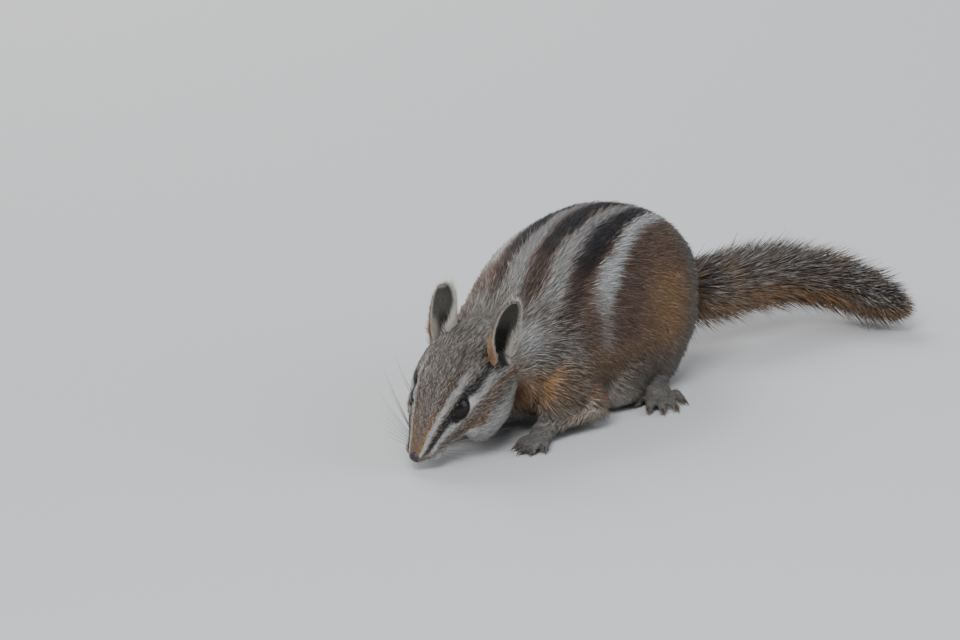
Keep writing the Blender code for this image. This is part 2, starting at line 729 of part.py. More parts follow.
# Head, cut from the neck behind the ears, with its lids, sockets, mouth and flat ear roots.
frame = head_frame()
back = (frame.to_3x3() @ Vector((1, 0, 0))).normalized()
head = copy_of(fine, "head")
head_end = Vector(HEAD_END_FACING).normalized()
keep_behind(head, Vector(HEAD_END) - head_end * GAP / 2, head_end)
keep_behind(head, frame @ Vector((NOSE_BACK + GAP, 0, 0)), -back)
keep_largest(head)
for word, sign in SIDES:
    lids = lid_ring(sign)
    combine(head, lids, "UNION")
    eye_middle = mirrored(EYE_MIDDLE, sign)
    socket = ball("socket", eye_middle, (EYE_RADIUS + GAP,) * 3, frame, parts=(20, 12))
    combine(head, socket, "DIFFERENCE")
    mouth = mouth_cutter(sign)
    combine(head, mouth, "DIFFERENCE")
    room = ear_room(word, sign)
    combine(head, room, "DIFFERENCE")
    drop(lids, socket, mouth, room)
    nodes["eye_" + word] = ball("eye_" + word, eye_middle, (EYE_RADIUS,) * 3, frame, parts=(16, 10))
    nodes["ear_" + word] = ear(word, sign)
nodes["head"] = stand_on_floor(head)

# Nose pad with both nostrils.
nose = ball("nose", *NOSE_PAD, frame, parts=(16, 10))
keep_behind(nose, frame @ Vector((NOSE_BACK, 0, 0)), back)
for word, sign in SIDES:
    hole = ball("hole", mirrored(NOSTRIL[0], sign), NOSTRIL[1], frame, parts=(10, 8))
    combine(nose, hole, "DIFFERENCE")
    drop(hole)
nodes["nose"] = nose

# Body behind the head; the legs are taken out of it, then the neck is parted from the torso.
body = copy_of(coarse, "body")
keep_behind(body, Vector(HEAD_END) + head_end * GAP / 2, -head_end)
root_point, _, root_along, _, _ = tail_frame(TAIL_START)
keep_behind(body, root_point - root_along * GAP / 2, root_along)
keep_largest(body)
rooms = []
trunk = trunk_frame()
for word, sign in SIDES:
    for name, region in (("haunch_", HAUNCH_REGION), ("foreleg_", FORELEG_REGION)):
        middle = mirrored(region[0], sign)
        leg = copy_of(body, name + word)
        cutter = ball("region", middle, region[1], trunk, parts=(20, 12))
        combine(leg, cutter, "INTERSECT")
        drop(cutter)
        if name == "foreleg_":
            combine(leg, rooms[-1], "DIFFERENCE")
        nodes[name + word] = keep_largest(leg)
        wider = [size + GAP for size in region[1]]
        rooms.append(ball("room", middle, wider, trunk, parts=(20, 12)))
for room in rooms:
    combine(body, room, "DIFFERENCE")
drop(*rooms)
keep_largest(body)
lean = (trunk @ turned(-NECK_END_LEAN, "Y")).to_3x3() @ Vector((1, 0, 0))
neck_end = trunk @ Vector(NECK_END)
neck = copy_of(body, "neck")
keep_behind(neck, neck_end - lean * GAP / 2, lean)
torso = body
torso.name = "torso"
keep_behind(torso, neck_end + lean * GAP / 2, -lean)
nodes["neck"] = neck
nodes["torso"] = keep_largest(torso)
for word, sign in SIDES:
    slot = ear(word, sign, GAP)
    combine(neck, slot, "DIFFERENCE")
    drop(slot)
keep_largest(neck)

# Feet, and the room they need in the flesh above them.
for word, sign in SIDES:
    hind = (HIND_FEET[word], sign, HIND_SOLE, HIND_TOES)
    fore = (FORE_PAWS[word], sign, FORE_SOLE, FORE_TOES)
    nodes["hind_foot_" + word] = foot("hind_foot_" + word, *hind, HIND_TRIANGLES)
    nodes["fore_paw_" + word] = foot("fore_paw_" + word, *fore, FORE_TRIANGLES)
    for details, above in ((hind, ("haunch_" + word, "torso")), (fore, ("foreleg_" + word, "neck", "head"))):
        room = foot_room(*details)
        for name in above:
            combine(nodes[name], room, "DIFFERENCE")
        drop(room)

for part in tail():
    nodes[part.name] = part
drop(fine, coarse)

# Close up every piece, bring it to metres, and stand the model over the origin.
for name, obj in nodes.items():
    obj.name = name
    if not name.startswith(("tail", "ear", "eye")):
        keep_largest(tidy(stand_on_floor(obj)))
corners = [vert.co for obj in nodes.values() for vert in obj.data.vertices]
low = Vector([min(corner[axis] for corner in corners) for axis in range(3)])
high = Vector([max(corner[axis] for corner in corners) for axis in range(3)])
shift = Matrix.Translation((-(low.x + high.x) / 2, -(low.y + high.y) / 2, -low.z))
for name, obj in nodes.items():
    obj.data.transform(Matrix.Scale(MM, 4) @ shift)
    kind = "tail" if name.startswith("tail") else name.replace("_left", "").replace("_right", "")
    paint(obj, kind)
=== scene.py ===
"""The looks of the crouching chipmunk: its skin, coat, eyes, nose, claws and whiskers.

The animal faces -X, its left side faces -Y, and it stands on Z = 0. Shapes are drawn in millimetres
in the drawing frame of the solids, and each finished piece is brought to metres in the model's frame.
"""

import math

import bmesh
import bpy
import numpy as np
from mathutils import Euler, Matrix, Vector


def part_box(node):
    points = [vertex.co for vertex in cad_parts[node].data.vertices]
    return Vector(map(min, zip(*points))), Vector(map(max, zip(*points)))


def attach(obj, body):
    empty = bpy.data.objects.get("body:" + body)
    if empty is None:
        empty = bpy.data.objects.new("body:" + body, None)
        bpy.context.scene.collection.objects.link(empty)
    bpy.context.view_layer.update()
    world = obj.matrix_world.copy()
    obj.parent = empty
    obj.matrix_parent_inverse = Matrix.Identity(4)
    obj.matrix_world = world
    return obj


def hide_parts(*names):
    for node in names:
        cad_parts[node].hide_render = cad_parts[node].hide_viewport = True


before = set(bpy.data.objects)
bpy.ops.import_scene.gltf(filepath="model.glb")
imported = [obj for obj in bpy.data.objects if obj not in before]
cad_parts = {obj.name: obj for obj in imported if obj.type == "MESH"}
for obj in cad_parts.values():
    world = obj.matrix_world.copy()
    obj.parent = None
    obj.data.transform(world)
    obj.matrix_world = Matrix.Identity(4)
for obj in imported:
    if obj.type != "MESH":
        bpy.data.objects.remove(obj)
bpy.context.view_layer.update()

# The head's own frame
# Its origin is the nose tip and its X runs back along the head. The left eye of the solids, whose
# middle is known in that frame, tells where the drawing's origin lies in the model.
MM = 0.001
SIDES = (("left", -1), ("right", 1))
NOSE_TIP = (-49.8, -6.7, 2.85)
HEAD_PITCH = 29.9
HEAD_TURN = 11.1
HEAD_ROLL = 10.5
EYE_MIDDLE = (13.6, 5.3, 5.3)


def turned(degrees, axis):
    return Matrix.Rotation(math.radians(degrees), 4, axis)


def mirrored(point, sign):
    return Vector((point[0], point[1] * sign, point[2]))


HEAD_ANGLES = [math.radians(angle) for angle in (HEAD_ROLL, -HEAD_PITCH, HEAD_TURN)]
HEAD_PLACE = Matrix.Translation(NOSE_TIP) @ Euler(HEAD_ANGLES).to_matrix().to_4x4()
eye_low, eye_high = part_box("eye_left")
ORIGIN = (eye_low + eye_high) / 2 - (HEAD_PLACE @ mirrored(EYE_MIDDLE, -1)) * MM


def to_model(obj):
    """Bring an object's mesh from millimetres of the drawing to metres of the model."""
    obj.data.transform(Matrix.Translation(ORIGIN) @ Matrix.Scale(MM, 4))


def link(name, bm):
    """Turn a bmesh into a smoothly shaded object of the scene."""
    mesh = bpy.data.meshes.new(name)
    bm.to_mesh(mesh)
    bm.free()
    mesh.shade_smooth()
    obj = bpy.data.objects.new(name, mesh)
    bpy.context.scene.collection.objects.link(obj)
    return obj


# The flesh
# Trunk and head are lofted through oval rings, and haunches, shoulders, cheeks, limbs, feet and the
# core of the tail are balls and round limbs. All melt into one closed skin from nose to tail.
TRUNK_PLACE = (2.8, 4.0)  # the trunk's own frame, turned so that the rump swings right
TRUNK_TURN = 15
TRUNK = (  # x and z of the middle, lean forward, half width, reach above, reach below
    (46.0, 16.1, -30, 3.5, 3.8, 5.0),
    (43.4, 17.5, -20, 9.0, 9.0, 10.0),
    (39.0, 19.0, -10, 14.6, 14.5, 15.3),
    (32.4, 20.3, -5, 18.6, 19.2, 18.3),
    (23.8, 21.1, 0, 20.8, 21.7, 19.5),
    (14.2, 21.3, 4, 21.0, 22.1, 19.7),
    (5.4, 20.7, 12, 21.0, 21.3, 19.1),
    (-1.6, 19.3, 20, 20.2, 19.5, 17.1),
    (-7.6, 18.3, 24, 19.0, 16.9, 15.7),
    (-13.5, 17.5, 24, 17.8, 14.9, 14.5),
    (-19.0, 16.9, 26, 16.2, 13.1, 13.5),
    (-24.5, 16.2, 30, 14.4, 11.2, 12.2),
    (-29.0, 15.4, 32, 12.0, 9.4, 10.6),
)
TRUNK_SIDES = 56
TRUNK_FULLNESS = (0.9, 0.72)  # how square it is above and below its middle: 1 is oval
HEAD = (  # distance back, height of the middle, half width, reach above, reach below
    (0.2, 0.0, 1.8, 1.4, 1.6),
    (2.6, 0.3, 3.0, 2.6, 2.7),
    (5.6, 1.1, 4.5, 4.2, 4.0),
    (9.4, 2.0, 6.6, 6.0, 5.6),
    (13.2, 2.6, 8.6, 7.6, 7.2),
    (17.4, 3.0, 10.2, 8.8, 8.6),
    (22.2, 2.9, 11.4, 9.5, 9.6),
    (27.4, 2.4, 12.0, 9.7, 10.0),
    (32.6, 1.6, 11.8, 9.0, 9.8),
    (37.4, 0.6, 10.8, 7.8, 9.0),
)
HEAD_SIDES = 48
WHISKER_PAD = ((5.2, 2.5, -0.6), (3.6, 2.2, 2.1))  # middle and half sizes, in the head's frame
CHEEK = ((20.5, 7.2, -1.4), (9.0, 4.6, 5.6))
CHIN = ((8.0, 0.0, -2.4), (5.0, 2.7, 1.9))
ORBIT = (5.6, 3.6, 3.9)
ORBIT_SUNK = 1.7
EYE_AXIS = (-0.34, 0.82, 0.46)
EAR_ROOT = {"left": (28.5, 8.0, 8.6), "right": (31.0, 8.8, 5.8)}
EAR_STALK = (4.0, 4.2, 2.0)  # depth below the root, radius there, radius at the root
HAUNCH = ((18.0, 12.4, 16.2), (17.0, 8.6, 15.0), 14)  # middle, half sizes, slope
KNEE = ((6.0, 13.8, 10.4), (11.0, 6.4, 9.8), 24)
SHOULDER = ((-14.5, 11.8, 13.2), (11.5, 6.8, 12.0), 24)
UPPER_ARM = ((-13.0, 13.0, 10.0, 5.8), (-10.5, 15.2, 6.6, 5.0))  # x, y, z, radius
FOREARM = ((-10.5, 15.2, 6.2, 4.8), (-24.0, 11.8, 4.2, 2.7))
HIND_FEET = {"left": ((23.5, 10.0), 40), "right": ((26.0, 12.0), 20)}  # heel, turn outward
HIND_SOLE = ((1.8, 0.0, 1.9, 2.0), (9.0, 0.0, 2.3, 2.2), (16.5, 0.0, 2.0, 2.6))
HIND_TOES = ((-2.9, 13.5, 5.0, -30), (-1.9, 17.0, 7.4, -12), (-0.2, 18.0, 8.0, 0),
             (1.6, 17.2, 7.6, 12), (3.0, 14.5, 5.8, 28))  # side offset, start, length, turn
FORE_PAWS = {"left": ((-23.0, 12.0), 8), "right": ((-24.0, 11.8), 10)}
FORE_SOLE = ((0.4, 0.0, 2.3, 2.2), (3.6, 0.0, 1.8, 2.2), (5.4, 0.0, 1.5, 2.3))
FORE_TOES = ((-2.0, 4.6, 4.4, -26), (-0.7, 5.8, 5.4, -8), (0.7, 5.8, 5.4, 8), (2.0, 4.8, 4.6, 26))
TOE_RADIUS = 1.05
SOLE_RADIUS = 2.3
TOE_ROOT = (2.0, 0.8, 1.9)  # set back, share of the side offset, height
KNUCKLE = (0.4, 2.1)  # share of the length, height
TOE_END = 1.1  # how far the toe stops short of its length, where the claw begins
TAIL = (  # the middle of the coat and the radius to its tips, from the rump to the end
    (43.4, 12.6, 16.6, 6.4),
    (49.6, 12.9, 15.4, 8.0),
    (55.8, 12.0, 14.4, 8.6),
    (62.2, 10.7, 14.2, 8.8),
    (69.1, 10.0, 13.8, 8.8),
    (76.2, 8.4, 12.9, 8.8),
    (82.4, 5.2, 11.6, 8.6),
    (86.9, 0.2, 10.0, 8.2),
    (89.4, -6.7, 8.2, 7.0),
    (90.4, -14.2, 6.8, 4.8),
)
TAIL_BONE = (3.4, 1.2)  # radius of the tail under its hair, at the rump and at the end
TAIL_JOINTS = 18
SKIN_VOXEL = 0.54
SKIN_ROUNDS = 9
SKIN_LOWEST = 0.12


def on_curve(stations, place):
    """The values at a place along stations, on a smooth curve through them all."""
    last = len(stations) - 1
    index = min(int(place), last - 1)
    share = place - index
    four = [stations[min(max(index + step, 0), last)] for step in (-1, 0, 1, 2)]
    values = []
    for a, b, c, d in zip(*four):
        values.append(0.5 * (2 * b + (c - a) * share + (2 * a - 5 * b + 4 * c - d) * share ** 2
                             + (3 * b - a - 3 * c + d) * share ** 3))
    return values


def smooth_stations(stations, between=4):
    """The same stations with others between them, along smooth curves."""
    return [on_curve(stations, step / between) for step in range(between * (len(stations) - 1) + 1)]


def add_ring(bm, matrix, half_width, rise, drop_down, sides, fullness=(1.0, 1.0)):
    """An oval ring across the local X axis, with its own reach and fullness above and below."""
    verts = bmesh.ops.create_circle(bm, segments=sides, radius=1)["verts"]
    for vert in verts:
        across, up = vert.co.x, vert.co.y
        power = fullness[0] if up > 0 else fullness[1]
        across = math.copysign(abs(across) ** power, across) * half_width
        up = math.copysign(abs(up) ** power, up) * (rise if up > 0 else drop_down)
        vert.co = matrix @ Vector((0, across, up))
    return list({edge for vert in verts for edge in vert.link_edges})


def close_loft(bm, rings):
    for near, far in zip(rings, rings[1:]):
        bmesh.ops.bridge_loops(bm, edges=near + far)
    for end in (rings[0], rings[-1]):
        bmesh.ops.edgeloop_fill(bm, edges=end)


def add_ball(bm, middle, half_sizes, matrix=Matrix.Identity(4), slope=0, parts=(32, 18)):
    place = matrix @ Matrix.Translation(middle) @ turned(slope, "Y")
    bmesh.ops.create_uvsphere(bm, u_segments=parts[0], v_segments=parts[1], radius=1,
                              matrix=place @ Matrix.Diagonal((*half_sizes, 1)))


def add_limb(bm, stations, matrix=Matrix.Identity(4), sides=16):
    """A round limb through stations of x, y, z and radius, closed by a ball at each station."""
    points = [matrix @ Vector(station[:3]) for station in stations]
    radii = [station[3] for station in stations]
    for start, end, first, last in zip(points, points[1:], radii, radii[1:]):
        place = (end - start).normalized().to_track_quat("X", "Z").to_matrix().to_4x4()
        rings = []
        for share, radius in ((0, first), (1, last)):
            here = Matrix.Translation(start.lerp(end, share)) @ place
            rings.append(add_ring(bm, here, radius, radius, radius, sides))
        close_loft(bm, rings)
    for point, radius in zip(points, radii):
        add_ball(bm, point, (radius,) * 3, parts=(sides, 10))


TRUNK_FRAME = Matrix.Translation((*TRUNK_PLACE, 0)) @ turned(TRUNK_TURN, "Z")


def feet_of(word, sign):
    """The frame, sole and toes of the hind foot and the forepaw of one side."""
    feet = ((HIND_FEET[word], HIND_SOLE, HIND_TOES), (FORE_PAWS[word], FORE_SOLE, FORE_TOES))
    for (heel, turn), sole, toes in feet:
        place = TRUNK_FRAME @ Matrix.Translation((heel[0], sign * heel[1], 0))
        yield place @ turned(180 + sign * -turn, "Z") @ Matrix.Diagonal((1, -sign, 1, 1)), sole, toes


def toe_stations(side, start, length, angle):
    """Root, knuckle and tip of a toe, in its foot's frame, and the way it points."""
    heading = math.radians(angle)
    ahead = Vector((math.cos(heading), math.sin(heading), 0))
    root = Vector((start - TOE_ROOT[0], side * TOE_ROOT[1], TOE_ROOT[2]))
    knuckle = Vector((start, side, KNUCKLE[1])) + ahead * length * KNUCKLE[0]
    tip = Vector((start, side, TOE_RADIUS * 0.9)) + ahead * (length - TOE_END)
    return root, knuckle, tip, ahead


TAIL_STEPS = 80
TAIL_SHARES = np.arange(TAIL_STEPS + 1) / TAIL_STEPS
TAIL_LINE = np.array([on_curve(TAIL, share * (len(TAIL) - 1)) for share in TAIL_SHARES])


def flesh():
    """Every shape of the body as one mesh of overlapping closed forms."""
    bm = bmesh.new()
    rings = []
    for x, z, lean, half_width, rise, drop_down in smooth_stations(TRUNK):
        matrix = TRUNK_FRAME @ Matrix.Translation((x, 0, z)) @ turned(-lean, "Y")
        rings.append(add_ring(bm, matrix, half_width, rise, drop_down, TRUNK_SIDES, TRUNK_FULLNESS))
    close_loft(bm, rings)
    rings = []
    for back, middle, half_width, rise, drop_down in smooth_stations(HEAD):
        matrix = HEAD_PLACE @ Matrix.Translation((back, 0, middle))
        rings.append(add_ring(bm, matrix, half_width, rise, drop_down, HEAD_SIDES))
    close_loft(bm, rings)
    add_ball(bm, *CHIN, HEAD_PLACE)
    for word, sign in SIDES:
        for middle, half_sizes in (WHISKER_PAD, CHEEK):
            add_ball(bm, mirrored(middle, sign), half_sizes, HEAD_PLACE)
        for middle, half_sizes, slope in (HAUNCH, KNEE, SHOULDER):
            add_ball(bm, mirrored(middle, sign), half_sizes, TRUNK_FRAME, slope)
        for stations in (UPPER_ARM, FOREARM):
            add_limb(bm, [(*mirrored(station, sign), station[3]) for station in stations], TRUNK_FRAME)
        root = HEAD_PLACE @ mirrored(EAR_ROOT[word], sign)
        deep = HEAD_PLACE @ (mirrored(EAR_ROOT[word], sign) - Vector((0, 0, EAR_STALK[0])))
        add_limb(bm, [(*deep, EAR_STALK[1]), (*root, EAR_STALK[2])])
        outward = mirrored(EYE_AXIS, sign).normalized()
        add_ball(bm, mirrored(EYE_MIDDLE, sign) - ORBIT_SUNK * outward, ORBIT, HEAD_PLACE)
        for place, sole, toes in feet_of(word, sign):
            add_limb(bm, sole, place)
            for toe in toes:
                root, knuckle, tip, _ = toe_stations(*toe)
                stations = ((*root, TOE_RADIUS * 1.15), (*knuckle, TOE_RADIUS), (*tip, TOE_RADIUS * 0.9))
                add_limb(bm, stations, place, sides=12)
    stations = []
    for step in range(TAIL_JOINTS + 1):
        share = step / TAIL_JOINTS
        radius = TAIL_BONE[0] + (TAIL_BONE[1] - TAIL_BONE[0]) * share
        stations.append((*on_curve(TAIL, share * (len(TAIL) - 1))[:3], radius))
    add_limb(bm, stations)
    bmesh.ops.recalc_face_normals(bm, faces=bm.faces)
    return link("skin", bm)


def settle(obj):
    """Turn an object's modifiers into its mesh."""
    evaluated = obj.evaluated_get(bpy.context.evaluated_depsgraph_get())
    mesh = bpy.data.meshes.new_from_object(evaluated)
    obj.modifiers.clear()
    obj.data = mesh


def read(things, name, width, kind=float):
    """A value of each point, corner or face, as rows of that many numbers."""
    values = np.empty(len(things) * width, dtype=kind)
    things.foreach_get(name, values)
    return values.reshape(-1, width)


def write_points(mesh, points):
    mesh.vertices.foreach_set("co", points.ravel())
    mesh.update()


def soft(low, high, values):
    """0 below one value, 1 above the other, and a smooth rise between them."""
    share = np.clip((values - low) / (high - low), 0, 1)
    return share * share * (3 - 2 * share)


def region(edges, **measures):
    """1 inside a region and 0 outside it, from where each measure's edge begins and where it ends."""
    inside = 1.0
    for measure, begins, ends in edges:
        inside = inside * soft(begins, ends, measures[measure])
    return inside


def look_up(rows, places, column=1):
    """The values of a column of a table, at places along its first column."""
    return np.interp(places, [row[0] for row in rows], [row[column] for row in rows])


def from_segment(points, start, end):
    """Distance of points from the straight line between two others."""
    start = np.array(start)
    line = np.array(end) - start
    share = np.clip((points - start) @ line / (line @ line), 0, 1)
    return np.linalg.norm(points - (start + share[:, None] * line), axis=1)


FAR = 1e9
HEAD_TURNED = np.array(HEAD_PLACE.to_3x3())


def in_head(points):
    """Distance back, to the side and up, in the head's frame."""
    return (points - np.array(NOSE_TIP)) @ HEAD_TURNED


TRUNK_TURNED = np.array(TRUNK_FRAME.to_3x3())


def in_trunk(points):
    """Distance back, to the side and up, in the trunk's frame."""
    return (points - np.array((*TRUNK_PLACE, 0))) @ TRUNK_TURNED


def along_tail(points):
    """Share along the tail of each point."""
    shares = np.zeros(len(points))
    distances = np.full(len(points), FAR)
    for share, station in zip(TAIL_SHARES, TAIL_LINE):
        distance = np.linalg.norm(points - station[:3], axis=1)
        nearer = distance < distances
        shares[nearer] = share
        distances[nearer] = distance[nearer]
    return shares


TAIL_BEGINS = (44.0, 47.0)  # distance back along the trunk


def on_tail(points):
    """1 on the tail behind the rump, 0 on the body."""
    return soft(*TAIL_BEGINS, in_trunk(points)[:, 0])


HEAD_END = (-23.6, -1.4, 17.5)  # where the head gives way to the neck
HEAD_END_FACING = (0.979, 0.158, 0.133)
HEAD_BLEND = 3.0  # to either side of that place
FOOT_EDGE = (1.6, 0.3)  # distance from a foot's core over which the foot begins


def on_head(points):
    """1 on the head, 0 behind the neck's beginning."""
    return soft(HEAD_BLEND, -HEAD_BLEND, (points - np.array(HEAD_END)) @ np.array(HEAD_END_FACING))


def on_feet(points):
    """1 on the feet, 0 on the legs above them."""
    close = np.full(len(points), FAR)
    for word, sign in SIDES:
        for place, sole, toes in feet_of(word, sign):
            lines = [(Vector(sole[0][:3]), Vector(sole[-1][:3]), SOLE_RADIUS)]
            for toe in toes:
                _, knuckle, tip, _ = toe_stations(*toe)
                lines.append((knuckle, tip, TOE_RADIUS))
            for start, end, radius in lines:
                close = np.minimum(close, from_segment(points, place @ start, place @ end) - radius)
    return soft(*FOOT_EDGE, close)


HEAD_DEPTH = ((0.0, 0.05), (5.0, 0.15), (12.0, 0.35), (22.0, 0.7), (32.0, 1.2), (40.0, 1.6))
BODY_DEPTH = 1.7
LOW_LEG = (7.0, 2.0)  # heights between which the coat thins to half


def coat_depth(points):
    """How far the skin lies under the outside of the coat."""
    head = look_up(HEAD_DEPTH, in_head(points)[:, 0])
    mask = on_head(points)
    depth = BODY_DEPTH + (head - BODY_DEPTH) * mask
    low_leg = soft(*LOW_LEG, points[:, 2]) * (1 - mask)
    depth *= 1 - 0.5 * low_leg
    depth *= 1 - on_feet(points)
    return depth * (1 - on_tail(points))


skin = flesh()
melt = skin.modifiers.new("melt", "REMESH")
melt.mode = "VOXEL"
melt.voxel_size = SKIN_VOXEL
soften = skin.modifiers.new("soften", "SMOOTH")
soften.factor = 0.5
soften.iterations = SKIN_ROUNDS
settle(skin)
points = read(skin.data.vertices, "co", 3)
points -= read(skin.data.vertex_normals, "vector", 3) * coat_depth(points)[:, None]
points[:, 2] = np.maximum(points[:, 2], SKIN_LOWEST)
write_points(skin.data, points)

# Lids and lips
# The skin is cut finer round the eyes and muzzle, sunk under each eyeball inside an almond, raised
# to a thin fold round it, and creased along the mouth and down from the nose.
EYE_RADIUS = 3.15
EYE_SUNK = 1.0  # deeper than the eyeball of the solids
LID_HALF_LENGTH = 3.3
LID_HALF_HEIGHT = 1.75
LID_RISE = 0.4
LID_DEPTH = 0.7  # of the skin under the eyeball
LID_POINTED = 1.4  # 2 would be an oval
EYE_REACH = 6.5
LID_REACH = 6.0
FINER = (5.4, 4.4)  # round the eye, halved once and halved again
LID_LINE = (1.0, 0.0, 0.26)  # the way from the inner to the outer corner
MOUTH = ((0.4, -1.9), (2.0, -1.9), (4.0, -2.1), (6.2, -2.5), (8.4, -2.4), (10.2, -1.6))
MOUTH_DEPTH = 0.5
MOUTH_WIDTH = 0.32
MOUTH_END = (11.0, 9.0)
LIP_SPLIT = (0.4, 0.22)  # depth and half width of the cleft below the nose
LIP_SPLIT_ENDS = (("back", 2.6, 1.4), ("height", -2.2, -1.6))
LID_EDGE = (0.86, 1.06)  # in the almond's own measure, which is 1 on the rim
LID_SLOPE = (1.1, 2.6)


def eye_axes(sign):
    """The eye's own directions: out of the head, along the lids, and up across them."""
    outward = mirrored(EYE_AXIS, sign).normalized()
    along = (Vector(LID_LINE) - outward * outward.dot(Vector(LID_LINE))).normalized()
    upward = outward.cross(along) * -sign
    return outward, along, upward


def eye_centre(sign):
    return mirrored(EYE_MIDDLE, sign) - EYE_SUNK * mirrored(EYE_AXIS, sign).normalized()


def almond(sideways, high):
    """How far out of the opening a place lies, with the corners drawn to points: 1 on the rim."""
    return (sideways / LID_HALF_LENGTH) ** 2 + np.abs(high / LID_HALF_HEIGHT) ** LID_POINTED


def eye_clearance(local):
    """How far outside the lids' almond each point lies: 1 on its rim."""
    nearest = np.full(len(local), FAR)
    for _, sign in SIDES:
        outward, along, upward = [np.array(axis) for axis in eye_axes(sign)]
        offset = local - np.array(eye_centre(sign))
        close = np.linalg.norm(offset, axis=1) < EYE_REACH
        opening = almond(offset @ along, offset @ upward)
        nearest = np.minimum(nearest, np.where(close & (offset @ outward > 0), opening, FAR))
    return nearest


def cut_finer(obj, near, reach):
    """Halve the edges within reach of some points of the head."""
    bm = bmesh.new()
    bm.from_mesh(obj.data)
    middles = [HEAD_PLACE @ Vector(point) for point in near]
    chosen = {vert for vert in bm.verts if min((vert.co - middle).length for middle in middles) < reach}
    edges = [edge for edge in bm.edges if edge.verts[0] in chosen and edge.verts[1] in chosen]
    bmesh.ops.subdivide_edges(bm, edges=edges, cuts=1, use_grid_fill=True)
    bmesh.ops.triangulate(bm, faces=[face for face in bm.faces if len(face.verts) > 4])
    bm.to_mesh(obj.data)
    bm.free()


eye_middles = [mirrored(EYE_MIDDLE, sign) for _, sign in SIDES]
cut_finer(skin, eye_middles, FINER[0])
cut_finer(skin, [(2.0, 0, 0), (7.0, 0, 0)], 6.6)
cut_finer(skin, eye_middles, FINER[1])
points = read(skin.data.vertices, "co", 3)
local = in_head(points)
for word, sign in SIDES:
    outward, along, upward = [np.array(axis) for axis in eye_axes(sign)]
    offset = local - np.array(eye_centre(sign))
    distance = np.linalg.norm(offset, axis=1)
    opening = almond(offset @ along, offset @ upward)
    front = (offset @ outward > 0) & (distance < LID_REACH)
    sunk = EYE_RADIUS - LID_DEPTH + (LID_DEPTH + LID_RISE) * soft(*LID_EDGE, opening)
    wanted = sunk + (distance - sunk) * soft(*LID_SLOPE, opening)
    wanted = np.where(opening < 1.0, np.minimum(wanted, sunk), wanted)
    scale = np.where(front, wanted / np.maximum(distance, 1e-6), 1.0)
    local = np.array(eye_centre(sign)) + offset * scale[:, None]
groove = np.full(len(local), FAR)
for start, end in zip(MOUTH, MOUTH[1:]):
    groove = np.minimum(groove, from_segment(local[:, (0, 2)], start, end))
crease = np.exp(-(groove / MOUTH_WIDTH) ** 2) * soft(*MOUTH_END, local[:, 0])
split = np.exp(-(local[:, 1] / LIP_SPLIT[1]) ** 2)
split *= region(LIP_SPLIT_ENDS, back=local[:, 0], height=local[:, 2])
inward = np.stack([np.zeros(len(local)), -np.sign(local[:, 1]), np.full(len(local), 0.15)], axis=1)
local += inward * (crease * MOUTH_DEPTH)[:, None]
local[:, 0] += split * LIP_SPLIT[0]
points = local @ HEAD_TURNED.T + np.array(NOSE_TIP)
write_points(skin.data, points)

# Ears
# Each is a thin cupped leaf of gristle and skin rooted on the crown, the near one turned outward and
# the far one forward. Both are joined to the skin, and the coat hides where they meet.
EAR_LEAN = {"left": 10, "right": 38}  # outward
EAR_BACK = {"left": 22, "right": 58}  # leaning back
EAR_OPEN = {"left": 74, "right": -6}  # the open side, outward from straight ahead
EAR_SIZE = {"left": (14.6, 1.0), "right": (11.9, 1.08)}  # length, and how much wider than the rings
EAR_WALL = 0.8
EAR_RINGS = ((-0.16, 2.4, 2.8), (0.0, 2.6, 3.0), (0.14, 3.4, 3.2), (0.32, 4.0, 3.0), (0.52, 4.2, 2.6),
             (0.7, 3.9, 2.1), (0.84, 3.2, 1.6), (0.94, 2.2, 1.0), (0.985, 1.2, 0.5), (1.0, 0.5, 0.2))
EAR_STEPS = 28
EAR_OUTER = 0.75  # share of the width beyond which the edges curl
EAR_CURL = 0.45
EAR_CUP = (("across", 3.4, 2.6), ("opening", -3.6, -2.8), ("opening", 1.9, 1.1),
           ("height", 5.5, 4.5), ("height", -3.0, -2.0))  # its soft edges, in the ear's frame


def ear_frame(word, sign):
    lean = turned(-sign * EAR_LEAN[word], "X") @ turned(EAR_BACK[word], "Y")
    open_way = turned(90 - sign * EAR_OPEN[word], "Z") @ Matrix.Translation((0, 1.4, 0))
    return HEAD_PLACE @ Matrix.Translation(mirrored(EAR_ROOT[word], sign)) @ lean @ open_way


def join_rings(bm, rings):
    """Faces between rings of points, the first and last ring closed."""
    faces = []
    for low, high in zip(rings, rings[1:]):
        for index, vert in enumerate(low):
            after = (index + 1) % len(low)
            faces.append(bm.faces.new((vert, low[after], high[after], high[index])))
    for end in (rings[0], rings[-1]):
        faces.append(bm.faces.new(end))
    return faces


